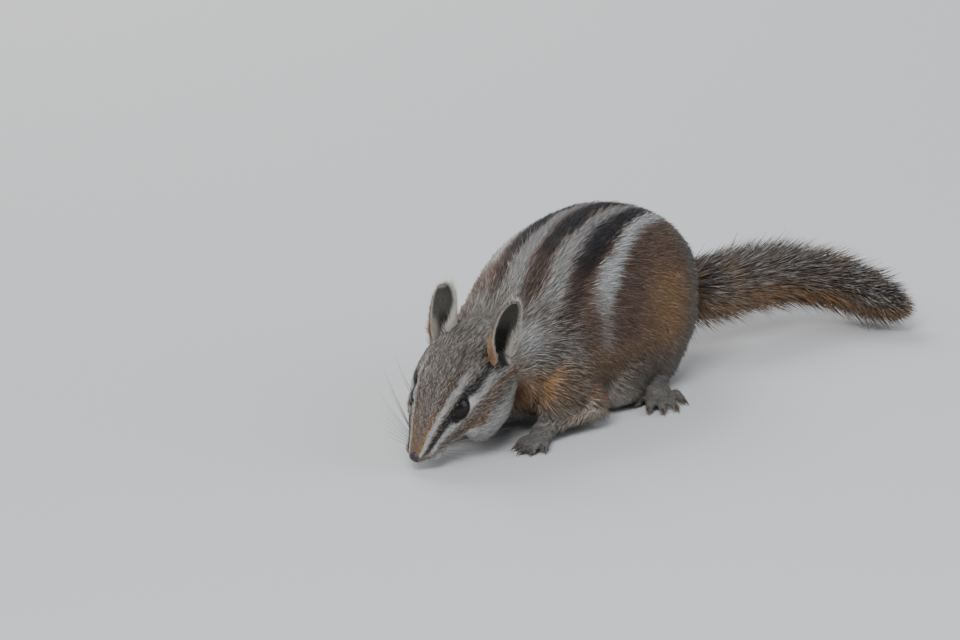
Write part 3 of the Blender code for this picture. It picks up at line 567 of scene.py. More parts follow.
def add_ear(bm, word, sign, mark, part):
    """Rings of an outer and an inner wall, joined at the rim, and closed at the root and tip.

    Each point keeps its wall (-1 outer, 1 inner), its share of the length, and how near it lies to
    the front edge (1) or the rear edge (-1).
    """
    place = ear_frame(word, sign)
    ear_length, wider = EAR_SIZE[word]
    loops = []
    for share, half_width, depth in smooth_stations(EAR_RINGS):
        half_width *= wider
        radius = (half_width ** 2 + depth ** 2) / (2 * depth)
        reach = math.atan2(half_width, radius - depth)
        wall = EAR_WALL * (1.1 - 0.5 * max(share, 0.0))
        middle = radius - depth
        edges = [2 * step / EAR_STEPS - 1 for step in range(EAR_STEPS + 1)]
        corners = [(edge, radius + wall / 2, -1) for edge in edges]
        corners += [(edge, radius - wall / 2, 1) for edge in reversed(edges)]
        loop = []
        for edge, size, side in corners:
            angle = reach * edge
            outermost = max(0.0, abs(edge) - EAR_OUTER) / (1 - EAR_OUTER)
            curl = EAR_CURL * outermost * math.sin(math.pi * min(max(share, 0), 1))
            point = Vector((size * math.sin(angle), middle - size * math.cos(angle) - curl,
                            share * ear_length))
            vert = bm.verts.new(place @ point)
            vert[mark] = 1.0
            vert[part] = (side, share, edge)
            loop.append(vert)
        loops.append(loop)
    faces = join_rings(bm, loops)
    bmesh.ops.recalc_face_normals(bm, faces=faces)
    bmesh.ops.triangulate(bm, faces=faces[-2:])


def ear_cup(points):
    """1 on the skin at the bottom of each ear's cup, where the markings paint shade, 0 outside it."""
    inside = np.zeros(len(points))
    for word, sign in SIDES:
        place = np.array(ear_frame(word, sign).inverted())
        across, opening, height = (points @ place[:3, :3].T + place[:3, 3]).T
        here = region(EAR_CUP, across=np.abs(across), opening=opening, height=height)
        inside = np.maximum(inside, here)
    return inside


bm = bmesh.new()
bm.from_mesh(skin.data)
ear_mark = bm.verts.layers.float.new("ear")
ear_part = bm.verts.layers.float_vector.new("ear_part")
for word, sign in SIDES:
    add_ear(bm, word, sign, ear_mark, ear_part)
bm.to_mesh(skin.data)
bm.free()
skin.data.shade_smooth()

# Unwrap of the skin
# One map of the whole skin, laid out from its own shape. Every tuft later takes a small patch of it
# at its root.
bpy.context.view_layer.objects.active = skin
skin.data.uv_layers.new(name="OFBake")
with bpy.context.temp_override(active_object=skin, object=skin, selected_objects=[skin]):
    bpy.ops.object.mode_set(mode="EDIT")
    bpy.ops.mesh.select_all(action="SELECT")
    bpy.ops.uv.smart_project(angle_limit=math.radians(66), island_margin=0.002)
    bpy.ops.object.mode_set(mode="OBJECT")

# Lie of the hair
# It runs back from the nose, down the sides, and along each limb and the tail. The directions are
# given in the trunk's frame: back along it, to the side, up.
LIE_TRUNK = (1.0, 0.0, -0.22)
LIE_HAUNCH = (0.75, 0.0, -0.65)
LIE_ARM = (-0.9, 0.0, -0.35)
LIE_TOES = (-1.0, 0.0, -0.1)
# Where the haunch's and the foreleg's own directions hold: each measure, and its soft edge.
THIGH = (("along", -6, 4), ("height", 22, 12), ("side", 8, 13))
FORELEG = (("along", 2, -4), ("height", 9, 5), ("along", -27, -22))
FOOT_REACH = 28.0  # from a heel to the end of its claws


def unit(vectors):
    return vectors / np.maximum(np.linalg.norm(vectors, axis=1), 1e-9)[:, None]


def lie_of_hair(points, normals):
    """The way the coat lies at each point, along the skin."""
    along, side, height = in_trunk(points).T
    field = np.tile(np.array(LIE_TRUNK), (len(points), 1))
    field[:, 2] -= 0.35 * np.abs(normals @ TRUNK_TURNED[:, 1])
    field[:, 2] -= 0.9 * soft(30, 42, along)
    for lie, edges in ((LIE_HAUNCH, THIGH), (LIE_ARM, FORELEG)):
        inside = region(edges, along=along, height=height, side=np.abs(side))
        field += (np.array(lie) - field) * inside[:, None]
    field = field @ TRUNK_TURNED.T
    local = in_head(points)
    down = HEAD_TURNED[:, 2] * -0.25
    head = HEAD_TURNED[:, 0] + down * soft(2, 10, local[:, 0])[:, None]
    field += (head - field) * on_head(points)[:, None]
    index = np.clip((along_tail(points) * TAIL_STEPS).astype(int), 1, TAIL_STEPS - 1)
    tangent = TAIL_LINE[index + 1, :3] - TAIL_LINE[index - 1, :3]
    field += (unit(tangent) - field) * on_tail(points)[:, None]
    foot = np.tile(np.array(LIE_TOES) @ TRUNK_TURNED.T, (len(points), 1))
    for word, sign in SIDES:
        for place, _, _ in feet_of(word, sign):
            close = np.linalg.norm(points - np.array(place.translation), axis=1) < FOOT_REACH
            foot[close] = np.array(place.to_3x3() @ Vector((1, 0, -0.1)))
    field += (foot - field) * on_feet(points)[:, None]
    field = unit(field)
    flat = field - normals * (field * normals).sum(axis=1)[:, None]
    return unit(flat)


# Markings
# Five dark and four pale stripes down the back, rusty flanks, a pale belly, a grizzled crown, and
# dark and pale stripes from the nose past the eye to the ear. Skin and coat share these colours.
DARK = (0.022, 0.020, 0.022)
BROWN = (0.105, 0.060, 0.040)
FLANK_BROWN = (0.150, 0.088, 0.062)
GREY_STRIPE = (0.330, 0.315, 0.300)
WHITE_STRIPE = (0.560, 0.550, 0.530)
FLANK = (0.235, 0.145, 0.088)
ORANGE = (0.360, 0.200, 0.090)
RUMP = (0.160, 0.146, 0.130)
NAPE = (0.225, 0.200, 0.175)
BELLY = (0.500, 0.470, 0.420)
CROWN = (0.165, 0.138, 0.118)
SNOUT = (0.180, 0.124, 0.092)
SNOUT_RUST = (0.230, 0.122, 0.054)
CHEEK_STRIPE = (0.165, 0.092, 0.052)
THROAT = (0.440, 0.430, 0.410)
# Grey of the feet, partly their own colour and partly painted shade, as of feet in the shadow under the
# body.
FOOT_GREY_AND_SHADE = (0.165, 0.152, 0.138)
TAIL_RUST = (0.330, 0.165, 0.065)
LID = (0.018, 0.014, 0.012)
EAR_OUTSIDE = (0.100, 0.072, 0.052)
EAR_INSIDE = (0.080, 0.074, 0.062)
# Painted shade: near black, laid deep inside each ear and on the skin at the bottom of its cup.
EAR_HOLLOW_SHADE = (0.012, 0.010, 0.009)
EAR_EDGE = (0.480, 0.445, 0.390)
# The line of the back: distance back along the trunk, distance to the side.
BACK_LINE = ((-25, -5.0), (-13, -4.0), (-5, -2.2), (0, -2.0), (12, -0.7), (40, 0.0))
# Stations of distance back along the trunk, distance from the line of the back, half width.
BACK_STRIPES = (
    (((-13, 5.4, 2.6), (-4, 4.8, 2.0), (6, 4.6, 1.6), (20, 4.5, 1.3), (36, 3.6, 1.0)), GREY_STRIPE),
    (((-24, 0, 1.2), (-13, 0, 1.9), (0, 0, 2.3), (20, 0, 2.5), (38, 0, 1.6)), DARK),
    (((-14, 9.2, 1.6), (-8, 9.4, 1.9), (0, 8.8, 2.2), (10, 8.3, 2.2), (20, 7.6, 1.8), (34, 5.8, 1.4)),
     DARK),
    (((-6, 17.4, 1.6), (0, 16.5, 1.8), (9, 15.4, 1.8), (16, 14.3, 1.8), (28, 10.7, 1.5), (36, 9.0, 1.0)),
     FLANK_BROWN),
    (((-3, 14.2, 1.6), (0, 13.6, 1.5), (5, 13.1, 1.2), (11, 12.4, 1.15), (24, 9.8, 1.0), (34, 7.8, 0.8)),
     WHITE_STRIPE),
)
# Colours over the crown: the colour, its share, and the region by distance back and degrees round.
FACE_LAYERS = ((SNOUT, 1, (("back", 12, 3), ("round", 60, 40))), (THROAT, 1, (("round", 96, 108),)))
# Round the head from the top: stations of distance back, degrees, half width; then the colour.
FACE_STRIPES = (
    (((1, 22, 10), (5, 23, 7), (9, 23.5, 5.5), (12, 23.5, 5)), SNOUT_RUST),
    (((10, 23, 5.5), (13, 23, 5.5), (18, 24, 4), (20, 25, 3)), BROWN),
    (((1, 46, 10), (5, 36, 7.5), (9, 34, 6), (16, 33, 5), (22, 31, 3)), THROAT),
    (((2, 64, 8), (9, 53, 8), (13, 53, 9), (17, 50, 7.5), (24, 48, 6.5), (29, 48, 5)), DARK),
    (((3, 84, 8), (7, 73, 7), (13, 74, 7), (17, 64, 6), (24, 60, 6), (31, 58, 6)), THROAT),
    (((6, 105, 5), (11, 99, 7), (14, 97, 8), (19, 87, 8), (24, 75, 7), (30, 73, 7), (36, 64, 6)),
     CHEEK_STRIPE),
)
# Regions of the body: each measure, where its soft edge begins and where it ends.
BROWN_BACK = (("height", 17.0, 21.0), ("along", 38, 26), ("across", 21.0, 17.0))
GREY_RUMP = (("slant", 22, 33),)
GREY_HIP = (("along", -10, 4), ("height", 16, 8))
GREY_NAPE = (("along", -10, -17), ("height", 15, 20), ("across", 17, 12))
PALE_UNDER = (("hang", 6.5, 2.5), ("facing", 0.2, -0.6))
PALE_CHEST = (("height", 9.0, 4.0), ("along", 12, 2), ("along", -32, -26), ("facing", 0.5, -0.2))
# The same for the ears, by how near the front edge, how near either edge, and the share of the length.
EAR_OUTSIDE_LAYERS = ((ORANGE, 0.75, (("front", 0.0, 0.3), ("share", 0.62, 0.35))),
                      (EAR_EDGE, 1, (("front", -0.2, -0.75),)))
# Low down inside each ear, the hollow's colour is painted shade.
EAR_INSIDE_LAYERS = ((EAR_EDGE, 1, (("edge", 0.55, 0.85), ("share", 0.5, 0.2))),
                     (EAR_HOLLOW_SHADE, 1, (("share", 0.66, 0.32), ("edge", 0.7, 0.45))))
EAR_RIM = ((0.86, 0.97), (0.94, 0.99))  # its soft edge towards the sides and towards the tip
# How the edges of the markings wander: how far, over what size, and the number of the random draw.
BODY_RAGGED = ((0.28, 7.0, 3), (0.12, 1.6, 4))
FACE_RAGGED = ((1.5, 6.0, 5), (0.8, 1.4, 6))
STRIPE_EDGE = 0.55  # how soft the edges are, in millimetres on the back and degrees on the face
FACE_EDGE = 2.2
FAR_SHIFT = 8  # degrees that the far side's stripes lie lower
FAR_THINNER = 0.35
GOLD = (19, 22, 8.0)  # golden patch of the hip: along, height, reach
CHEST = (-24, 14, 6.0, 5.0)  # golden patch behind the cheek: along, height, reach along and up
STREAKS = 0.24  # how much the hair of the face and of the feet varies in lightness
FOOT_MOTTLE = 0.3
# Pale hair below the ear and behind it: the middle in the head's frame, and the reach.
PALE_BY_EAR = (((27.5, 11.0, 7.2), 2.6), ((37.0, 10.6, 6.8), 6.0))
HAIR_SHOWN = ((0, 0.2), (10, 0.7), (24, 1.6), (40, 3.0))  # how far behind its root a hair is seen


def blend(colours, colour, mask):
    """Lay a colour over others where the mask is 1."""
    return colours + (np.array(colour) - colours) * np.clip(mask, 0, 1)[:, None]


def wander(points, size, seed):
    """A slow, even wandering between -1 and 1 over space, for edges that aren't ruled."""
    chance = np.random.default_rng(seed)
    total = np.zeros(len(points))
    for _ in range(6):
        wave = chance.normal(size=3)
        wave *= 2 * math.pi / size / np.linalg.norm(wave) * chance.uniform(0.6, 1.5)
        total += np.sin(points @ wave + chance.uniform(0, 2 * math.pi))
    return total / 3.2


def ragged(points, rows):
    """How far the edges of the markings wander at each point."""
    return sum(far * wander(points, size, seed) for far, size, seed in rows)


def paint(first, layers, **measures):
    """Colours laid over a first one, each by its share within its region."""
    colours = np.array(first)[None, :]
    for colour, share, edges in layers:
        colours = blend(colours, colour, share * region(edges, **measures))
    return colours


def from_line(along, across, stations):
    """Distance of points from a line, and its half width there."""
    return np.abs(across - look_up(stations, along)), look_up(stations, along, 2)


def round_head(local):
    """Degrees round the head from the crown."""
    middle, half_width, rise = [look_up(HEAD, local[:, 0], column) for column in (1, 2, 3)]
    return np.degrees(np.arctan2(np.abs(local[:, 1]) / half_width, (local[:, 2] - middle) / rise))


def body_markings(points, normals):
    """Stripes, flanks, rump and belly."""
    along, side, height = in_trunk(points).T
    across = np.abs(side - look_up(BACK_LINE, along)) + ragged(points, BODY_RAGGED)
    measures = {"along": along, "across": across, "height": height, "facing": normals[:, 2],
                "slant": along + 0.25 * (20 - height), "hang": height + 0.2 * np.abs(side)}
    colours = np.tile(np.array(FLANK), (len(points), 1))
    colours = blend(colours, FLANK_BROWN, 0.7 * region(BROWN_BACK, **measures))
    gold = np.exp(-((along - GOLD[0]) / GOLD[2]) ** 2 - ((height - GOLD[1]) / GOLD[2]) ** 2)
    gold *= soft(15, 18, across)
    chest = np.exp(-((along - CHEST[0]) / CHEST[2]) ** 2 - ((height - CHEST[1]) / CHEST[3]) ** 2)
    colours = blend(colours, ORANGE, np.maximum(0.9 * gold, 0.65 * chest))
    for edges, share, colour in ((GREY_RUMP, 1, RUMP), (GREY_HIP, 0.75, RUMP), (GREY_NAPE, 1, NAPE)):
        colours = blend(colours, colour, share * region(edges, **measures))
    for stations, colour in BACK_STRIPES:
        distance, half_width = from_line(along, across, stations)
        fade = soft(stations[-1][0] + 4, stations[-1][0] - 5, along)
        fade *= soft(stations[0][0] - 6, stations[0][0] + 1, along) * soft(16, 20, height)
        tone = np.array(colour)
        if colour == DARK:
            tone = blend(tone, BROWN, 0.7 * soft(2, -10, along))
        stripe = soft(half_width + STRIPE_EDGE, half_width - STRIPE_EDGE, distance) * fade
        colours = colours + (tone - colours) * stripe[:, None]
    pale = np.maximum(region(PALE_UNDER, **measures), 0.75 * region(PALE_CHEST, **measures))
    return blend(colours, BELLY, pale)


def head_markings(points):
    """Grizzled crown, rusty snout, stripes past the eye and a pale throat."""
    local = in_head(points)
    far_side = soft(-2.0, 2.0, local[:, 1])
    angle = round_head(local) + ragged(points, FACE_RAGGED) - FAR_SHIFT * far_side
    colours = paint(CROWN, FACE_LAYERS, back=local[:, 0], round=angle)
    for stations, colour in FACE_STRIPES:
        distance, half_width = from_line(local[:, 0], angle, stations)
        half_width = half_width * (1 - FAR_THINNER * far_side * (angle < 45))
        fade = soft(stations[0][0] - 1.5, stations[0][0] + 1.0, local[:, 0])
        fade *= soft(stations[-1][0] + 3.0, stations[-1][0] - 3.0, local[:, 0])
        stripe = soft(half_width + FACE_EDGE, half_width - FACE_EDGE, distance) * fade
        colours = blend(colours, colour, stripe)
    colours = colours * (1 + STREAKS * wander(local * (0.35, 1.0, 1.0), 1.0, 9))[:, None]
    # Painted shade: the skin at the bottom of each ear's cup is laid near black.
    colours = blend(colours, EAR_HOLLOW_SHADE, ear_cup(points))
    return blend(colours, LID, soft(1.6, 1.25, eye_clearance(local)))


def ear_markings(part):
    """Rusty and dark outside, pale behind, dark inside round a hollow painted near black as shade, with a
    pale edge.
    """
    side, share, front = part.T
    edge = np.abs(front)
    outside = paint(EAR_OUTSIDE, EAR_OUTSIDE_LAYERS, front=front, share=share)
    inside = paint(EAR_INSIDE, EAR_INSIDE_LAYERS, edge=edge, share=share)
    rim = np.maximum(soft(*EAR_RIM[0], edge), soft(*EAR_RIM[1], share))
    return outside + (blend(inside, EAR_EDGE, rim) - outside) * (side > 0)[:, None]


def markings(points, normals, ear, part, tail):
    """The colour of the coat at each point of the skin."""
    colours = body_markings(points, normals)
    colours += (head_markings(points) - colours) * on_head(points)[:, None]
    local = in_head(points)
    near_side = np.stack([local[:, 0], np.abs(local[:, 1]), local[:, 2]], axis=1)
    for middle, reach in PALE_BY_EAR:
        away = np.linalg.norm(near_side - np.array(middle), axis=1)
        colours = blend(colours, THROAT, 0.8 * soft(reach, reach * 0.4, away) * (1 - ear_cup(points)))
    # The feet take their grey, which holds painted shade, mottled.
    foot = np.array(FOOT_GREY_AND_SHADE) * (1 + FOOT_MOTTLE * wander(points, 1.6, 10))[:, None]
    colours += (foot - colours) * on_feet(points)[:, None]
    colours = blend(colours, TAIL_RUST, tail)
    return colours + (ear_markings(part) - colours) * ear[:, None]


def write_colours(mesh, name, colours):
    layer = mesh.attributes.new(name, "FLOAT_COLOR", "POINT")
    solid = np.ones((len(colours), 4), dtype=np.float32)
    solid[:, :3] = colours
    layer.data.foreach_set("color", solid.ravel())


skin_points = read(skin.data.vertices, "co", 3)
skin_normals = read(skin.data.vertex_normals, "vector", 3)
ear = read(skin.data.attributes["ear"].data, "value", 1)[:, 0]
part = read(skin.data.attributes["ear_part"].data, "vector", 3)
head_share = on_head(skin_points)
shown = look_up(HAIR_SHOWN, in_head(skin_points)[:, 0])
shown = shown * head_share + HAIR_SHOWN[-1][1] * (1 - head_share)
seen_at = skin_points + lie_of_hair(skin_points, skin_normals) * shown[:, None]
skin_colours = markings(seen_at, skin_normals, ear, part, on_tail(skin_points) * (1 - ear))
write_colours(skin.data, "marking", skin_colours)


# Finish of the skin
# Short close hair seen between the tufts of the coat: it takes the markings, is a little mottled, and
# finely uneven. One skin stands for all the flesh of the solids.
class Value:
    """A socket that takes part in sums as a number does, each sum adding its Math node."""

    def __init__(self, finish, socket):
        self.finish = finish
        self.socket = socket

    def joined(self, operation, *others):
        return self.finish.node("ShaderNodeMath", {"operation": operation}, dict(enumerate(others)))

    def __add__(self, other):
        return self.joined("ADD", self, other)

    def __sub__(self, other):
        return self.joined("SUBTRACT", self, other)

    def __rsub__(self, other):
        return self.joined("SUBTRACT", other, self)

    def __mul__(self, other):
        return self.joined("MULTIPLY", self, other)

    __radd__ = __add__
    __rmul__ = __mul__


class Finish:
    """A material whose nodes are added by one call each."""

    def __init__(self, name, roughness, specular=0.5):
        self.material = bpy.data.materials.new(name)
        self.material.use_nodes = True
        self.tree = self.material.node_tree
        self.shader = self.tree.nodes["Principled BSDF"]
        self.shader.inputs["Roughness"].default_value = roughness
        self.shader.inputs["Specular IOR Level"].default_value = specular

    def node(self, kind, settings=None, values=None, output=0):
        """Add a node: its settings first, then the values or links of its sockets."""
        node = self.tree.nodes.new(kind)
        for name, setting in (settings or {}).items():
            if name == "stops":
                while len(node.color_ramp.elements) < len(setting):
                    node.color_ramp.elements.new(0.5)
                for element, (position, colour) in zip(node.color_ramp.elements, setting):
                    element.position = position
                    element.color = (*colour, 1)
            else:
                setattr(node, name, setting)
        for name, value in (values or {}).items():
            if isinstance(value, Value):
                self.tree.links.new(value.socket, node.inputs[name])
            else:
                node.inputs[name].default_value = value
        return Value(self, node.outputs[output])

    def feed(self, name, value):
        """Link a value to the shader, or set a number on its socket."""
        if isinstance(value, Value):
            self.tree.links.new(value.socket, self.shader.inputs[name])
        else:
            self.shader.inputs[name].default_value = value


def tone_by(finish, kind, values, stops):
    """Colour a finish by a texture in the object's own space, and return the texture."""
    place = finish.node("ShaderNodeTexCoord", output=3)
    texture = finish.node(kind, values={"Vector": place, **values})
    finish.feed("Base Color", finish.node("ShaderNodeValToRGB", {"stops": stops}, {"Fac": texture}))
    return texture


skin_finish = Finish("skin", roughness=0.75, specular=0.25)
marking = skin_finish.node("ShaderNodeAttribute", {"attribute_name": "marking"})
place = skin_finish.node("ShaderNodeTexCoord", output=3)
fine = skin_finish.node("ShaderNodeTexNoise", values={"Vector": place, "Scale": 2600.0, "Detail": 3.0})
shade = skin_finish.node("ShaderNodeVectorMath", {"operation": "SCALE"},
                         {0: marking, "Scale": fine * 0.5 + 0.5})
skin_finish.feed("Base Color", shade)
skin_finish.feed("Normal", skin_finish.node("ShaderNodeBump", None, {
    "Strength": 0.5, "Distance": 0.0002, "Height": fine}))
skin.data.materials.clear()
skin.data.materials.append(skin_finish.material)
to_model(skin)
FLESH_NODES = ("head", "neck", "torso", "haunch_left", "haunch_right", "foreleg_left", "foreleg_right",
               "hind_foot_left", "hind_foot_right", "fore_paw_left", "fore_paw_right",
               "tail_base", "tail_middle", "tail_tip", "ear_left", "ear_right")
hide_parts(*FLESH_NODES)
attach(skin, "root")

# Where the tufts are rooted
# Points are drawn at random over the skin, as thickly as each region's coat needs. Each keeps its
# place on the unwrap, the colour there, and the way the hair lies.
mesh = skin.data
mesh.calc_loop_triangles()
corner_points = read(mesh.loop_triangles, "vertices", 3, np.int32)
corner_loops = read(mesh.loop_triangles, "loops", 3, np.int32)
skin_map = read(mesh.uv_layers["OFBake"].data, "uv", 2)
edge_one = skin_points[corner_points[:, 1]] - skin_points[corner_points[:, 0]]
edge_two = skin_points[corner_points[:, 2]] - skin_points[corner_points[:, 0]]
skin_areas = np.linalg.norm(np.cross(edge_one, edge_two), axis=1) / 2
triangle_middles = skin_points[corner_points].mean(axis=1)
triangle_normals = skin_normals[corner_points].mean(axis=1)
triangle_ears = ear[corner_points].mean(axis=1)


def draw_roots(density, seed):
    """Roots on the skin, with a number of tufts to the square millimetre for each triangle.

    A root is a place, the way the skin faces, the colour and the place on the unwrap.
    """
    chance = np.random.default_rng(seed)
    running = np.cumsum(skin_areas * density)
    count = int(running[-1])
    steps = np.arange(count) + chance.uniform(0, 1, count)
    chosen = np.searchsorted(running, np.minimum(steps, running[-1] - 1e-6))
    first = np.sqrt(chance.uniform(0, 1, count))
    second = chance.uniform(0, 1, count)
    shares = np.stack([1 - first, first * (1 - second), first * second], axis=1)[:, :, None]
    corners = corner_points[chosen]
    places, facing, colours, parts = [(values[corners] * shares).sum(axis=1) for values in
                                      (skin_points, skin_normals, skin_colours, part)]
    patches = (skin_map[corner_loops[chosen]] * shares).sum(axis=1)
    return (places, unit(facing), colours, patches), parts, chance


# The coat
# Each tuft is a thin three-sided blade, widest near its root and drawn out to a point, that leaves
# the skin at a low angle and bends back towards it. It takes the marking at its root, and has a dark
# root, a shade of its own and, where the coat is grizzled, a paler or darker tip.
PATCH = 0.003  # width of a tuft's place on the unwrap
ROOT_DEPTH = 0.12
COAT_LOWEST = 0.05
BLADE_WIDTHS = {1: (1.0,), 2: (0.8, 0.9)}  # share of the full width at each joint
BLADE_RISE = 0.55  # height of a blade's ridge, in half widths
DARK_TIP = (0.030, 0.026, 0.024, 1)
PALE_TIP = (0.560, 0.520, 0.450, 1)


def strand_parts(finish):
    """The root's colour, the share along the hair, the hair's own shade, and how frosted its tip is."""
    marking = finish.node("ShaderNodeAttribute", {"attribute_name": "marking"})
    strand = finish.node("ShaderNodeAttribute", {"attribute_name": "strand"}, output=1)
    parts = finish.node("ShaderNodeSeparateXYZ", None, {0: strand})
    outputs = parts.socket.node.outputs
    return marking, Value(finish, outputs[0]), Value(finish, outputs[1]), Value(finish, outputs[2])


def shade_hair(finish, colour, share, own, darkest=0.45):
    """Darker at the root, and a little lighter or darker from hair to hair."""
    root_shade = finish.node("ShaderNodeMapRange", {"interpolation_type": "SMOOTHSTEP"}, {
        "Value": share, "From Min": 0.0, "From Max": 0.55, "To Min": darkest, "To Max": 1.0})
    shaded = finish.node("ShaderNodeVectorMath", {"operation": "SCALE"},
                         {0: colour, "Scale": root_shade * (own * 0.5 + 0.76)})
    finish.feed("Base Color", shaded)


coat_finish = Finish("coat", roughness=0.60, specular=0.22)
marking, share, own, frost = strand_parts(coat_finish)
pale_or_dark = coat_finish.node("ShaderNodeMapRange", None, {
    "Value": own, "From Min": 0.50, "From Max": 0.60, "To Min": 0.0, "To Max": 1.0})
tip_colour = coat_finish.node("ShaderNodeMix", {"data_type": "RGBA"}, {
    0: pale_or_dark, 6: DARK_TIP, 7: PALE_TIP}, output=2)
near_tip = coat_finish.node("ShaderNodeMapRange", {"interpolation_type": "SMOOTHSTEP"}, {
    "Value": share, "From Min": 0.45, "From Max": 0.85, "To Min": 0.0, "To Max": 1.0})
frosted = coat_finish.node("ShaderNodeMix", {"data_type": "RGBA"}, {
    0: near_tip * frost, 6: marking, 7: tip_colour}, output=2)
shade_hair(coat_finish, frosted, share, own)


def make_tufts(name, roots, lies, length, width, lift, rings, chance, frost=0.0, bend=0.35,
               sway=0.16, finish=coat_finish):
    """Blades at the roots, with their colours, own shades, frosted tips and patches of the unwrap.

    Each has as many joints as rings. Its lift is the angle at which it leaves the skin.
    """
    places, facing, colours, patches = roots
    count = len(places)
    swing = chance.normal(0, sway, count)
    across = np.cross(facing, lies)
    along = unit(lies * np.cos(swing)[:, None] + across * np.sin(swing)[:, None])
    across = np.cross(facing, along)
    tilt = np.radians(lift)
    side_bend = chance.normal(0, 0.07, count) * length
    shades = chance.beta(2.2, 2.2, count)
    stations = []
    for ring in range(rings + 1):
        reach = ring / rings
        forward = length * reach * np.cos(tilt * (1 - bend * reach))
        height = length * np.sin(tilt) * (reach - bend * reach ** 2) - ROOT_DEPTH * (1 - reach)
        centre = places + along * forward[:, None] + facing * height[:, None]
        centre += across * (side_bend * reach ** 2)[:, None]
        stations.append(centre)
    verts = []
    strands = []
    for ring, wide in enumerate(BLADE_WIDTHS[rings]):
        half = (width * wide / 2)[:, None]
        verts += [stations[ring] - across * half, stations[ring] + across * half,
                  stations[ring] + facing * half * BLADE_RISE]
        strands += [ring / rings] * 3
    verts.append(stations[-1])
    strands.append(1.0)
    per_tuft = len(verts)
    vert_array = np.stack(verts, axis=1).reshape(-1, 3)
    vert_array[:, 2] = np.maximum(vert_array[:, 2], COAT_LOWEST)
    faces = [(0, 2, 1)]
    for ring in range(rings - 1):
        for corner in range(3):
            after = (corner + 1) % 3
            low = ring * 3
            faces.append((low + corner, low + after, low + 3 + after))
            faces.append((low + corner, low + 3 + after, low + 3 + corner))
    for corner in range(3):
        faces.append(((rings - 1) * 3 + corner, (rings - 1) * 3 + (corner + 1) % 3, rings * 3))
    corners = (np.arange(count) * per_tuft)[:, None] + np.array(faces).ravel()[None, :]
    corners = corners.ravel().astype(np.int32)
    coat = bpy.data.meshes.new(name)
    coat.vertices.add(len(vert_array))
    coat.vertices.foreach_set("co", vert_array.ravel())
    coat.loops.add(len(corners))
    coat.loops.foreach_set("vertex_index", corners)
    coat.polygons.add(len(corners) // 3)
    coat.polygons.foreach_set("loop_start", np.arange(0, len(corners), 3, dtype=np.int32))
    coat.update(calc_edges=True)
    write_colours(coat, "marking", np.repeat(colours, per_tuft, axis=0))
    strand_values = np.zeros((count, per_tuft, 3), dtype=np.float32)
    strand_values[:, :, 0] = strands
    strand_values[:, :, 1] = shades[:, None]
    strand_values[:, :, 2] = (frost + np.zeros(count))[:, None]
    layer = coat.attributes.new("strand", "FLOAT_VECTOR", "POINT")
    layer.data.foreach_set("vector", strand_values.ravel())
    spread = np.zeros((count, per_tuft, 2))
    spread[:, :, 1] = (np.array(strands) - 0.5) * PATCH
    spread[:, 1::3, 0] = PATCH / 2
    spread[:, 0:-1:3, 0] = -PATCH / 2
    vertex_map = (np.clip(patches, PATCH, 1 - PATCH)[:, None, :] + spread).reshape(-1, 2)
    bake = coat.uv_layers.new(name="OFBake")
    bake.data.foreach_set("uv", vertex_map[corners].ravel().astype(np.float32))
    coat.materials.append(finish.material)
    coat.shade_smooth()
    obj = bpy.data.objects.new(name, coat)
    bpy.context.scene.collection.objects.link(obj)
    to_model(obj)
    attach(obj, "root")


def nose_clearance(local):
    """Distance from the bare nose pad, in millimetres."""
    return np.linalg.norm(local - np.array((1.2, 0.0, 0.2)), axis=1) - 2.0


# Hair to the square millimetre, length, width, lift and frost, from the nose back over the head.
HEAD_COAT = ((0.0, 32, 0.6, 0.12, 9, 0.4), (6.0, 28, 1.1, 0.14, 10, 0.75), (14.0, 23, 1.7, 0.17, 12, 0.8),
             (24.0, 18, 2.6, 0.21, 14, 0.8), (34.0, 16, 3.8, 0.26, 17, 0.6), (44.0, 16, 4.8, 0.28, 17, 0.4))
BODY_HAIR = (16.5, 4.8, 0.28, 17.0)  # to the square millimetre, length, width, lift
BODY_FROST = 0.16
MORE_FROST = ((0.4, -8, -18), (0.3, 26, 38))  # at neck and rump: how much, where it begins and ends
FROSTED = (("brightness", 0.02, 0.10), ("brightness", 0.42, 0.30))  # the coat that takes the frost
LOW_HAIR = (8, 2)  # heights between which the hair shortens
LID_HAIR = (2.6, 1.3)  # and towards the lids, in the almond's measure
CHEEK_HAIR = (80, 110)  # degrees round the head between which it lengthens
LONG_SHARE = 0.4  # of the hairs that are drawn with two joints
UNDER_LIFT = 0.8  # how much flatter the others lie


def cover(name, density, seed):
    """Hair over one region: many plain blades lying flatter, and fewer bent ones over them."""
    for layer, part_share, rings in (("under", 1 - LONG_SHARE, 1), ("top", LONG_SHARE, 2)):
        thick = density * part_share * quick_share
        roots, _, chance = draw_roots(thick, seed + 50 * rings)
        places, facing, colours, _ = roots
        local = in_head(places)
        mask = on_head(places)
        along, _, height = in_trunk(places).T
        body_frost = BODY_FROST + sum(more * soft(*ends, along) for more, *ends in MORE_FROST)
        length, width, lift, frost = [
            body + (look_up(HEAD_COAT, local[:, 0], column + 2) - body) * mask
            for column, body in enumerate((*BODY_HAIR[1:], body_frost))]
        least = 0.2 + 0.2 * mask
        frost *= least + (1 - least) * region(FROSTED, brightness=colours.mean(axis=1))
        low = soft(*LOW_HAIR, height) * (1 - mask)
        length *= (1 - 0.45 * low) * chance.uniform(0.75, 1.2, len(places))
        length *= 1 + 0.10 * wander(places, 4.0, 8)
        length *= 1 - 0.45 * soft(*LID_HAIR, eye_clearance(local))
        length *= 1 + 0.6 * mask * soft(*CHEEK_HAIR, round_head(local))
        lift *= chance.uniform(0.6, 1.35, len(places))
        if rings == 1:
            lift *= UNDER_LIFT
        make_tufts(name + "_" + layer, roots, lie_of_hair(places, facing),
                   length, width, lift, rings, chance, frost=frost)


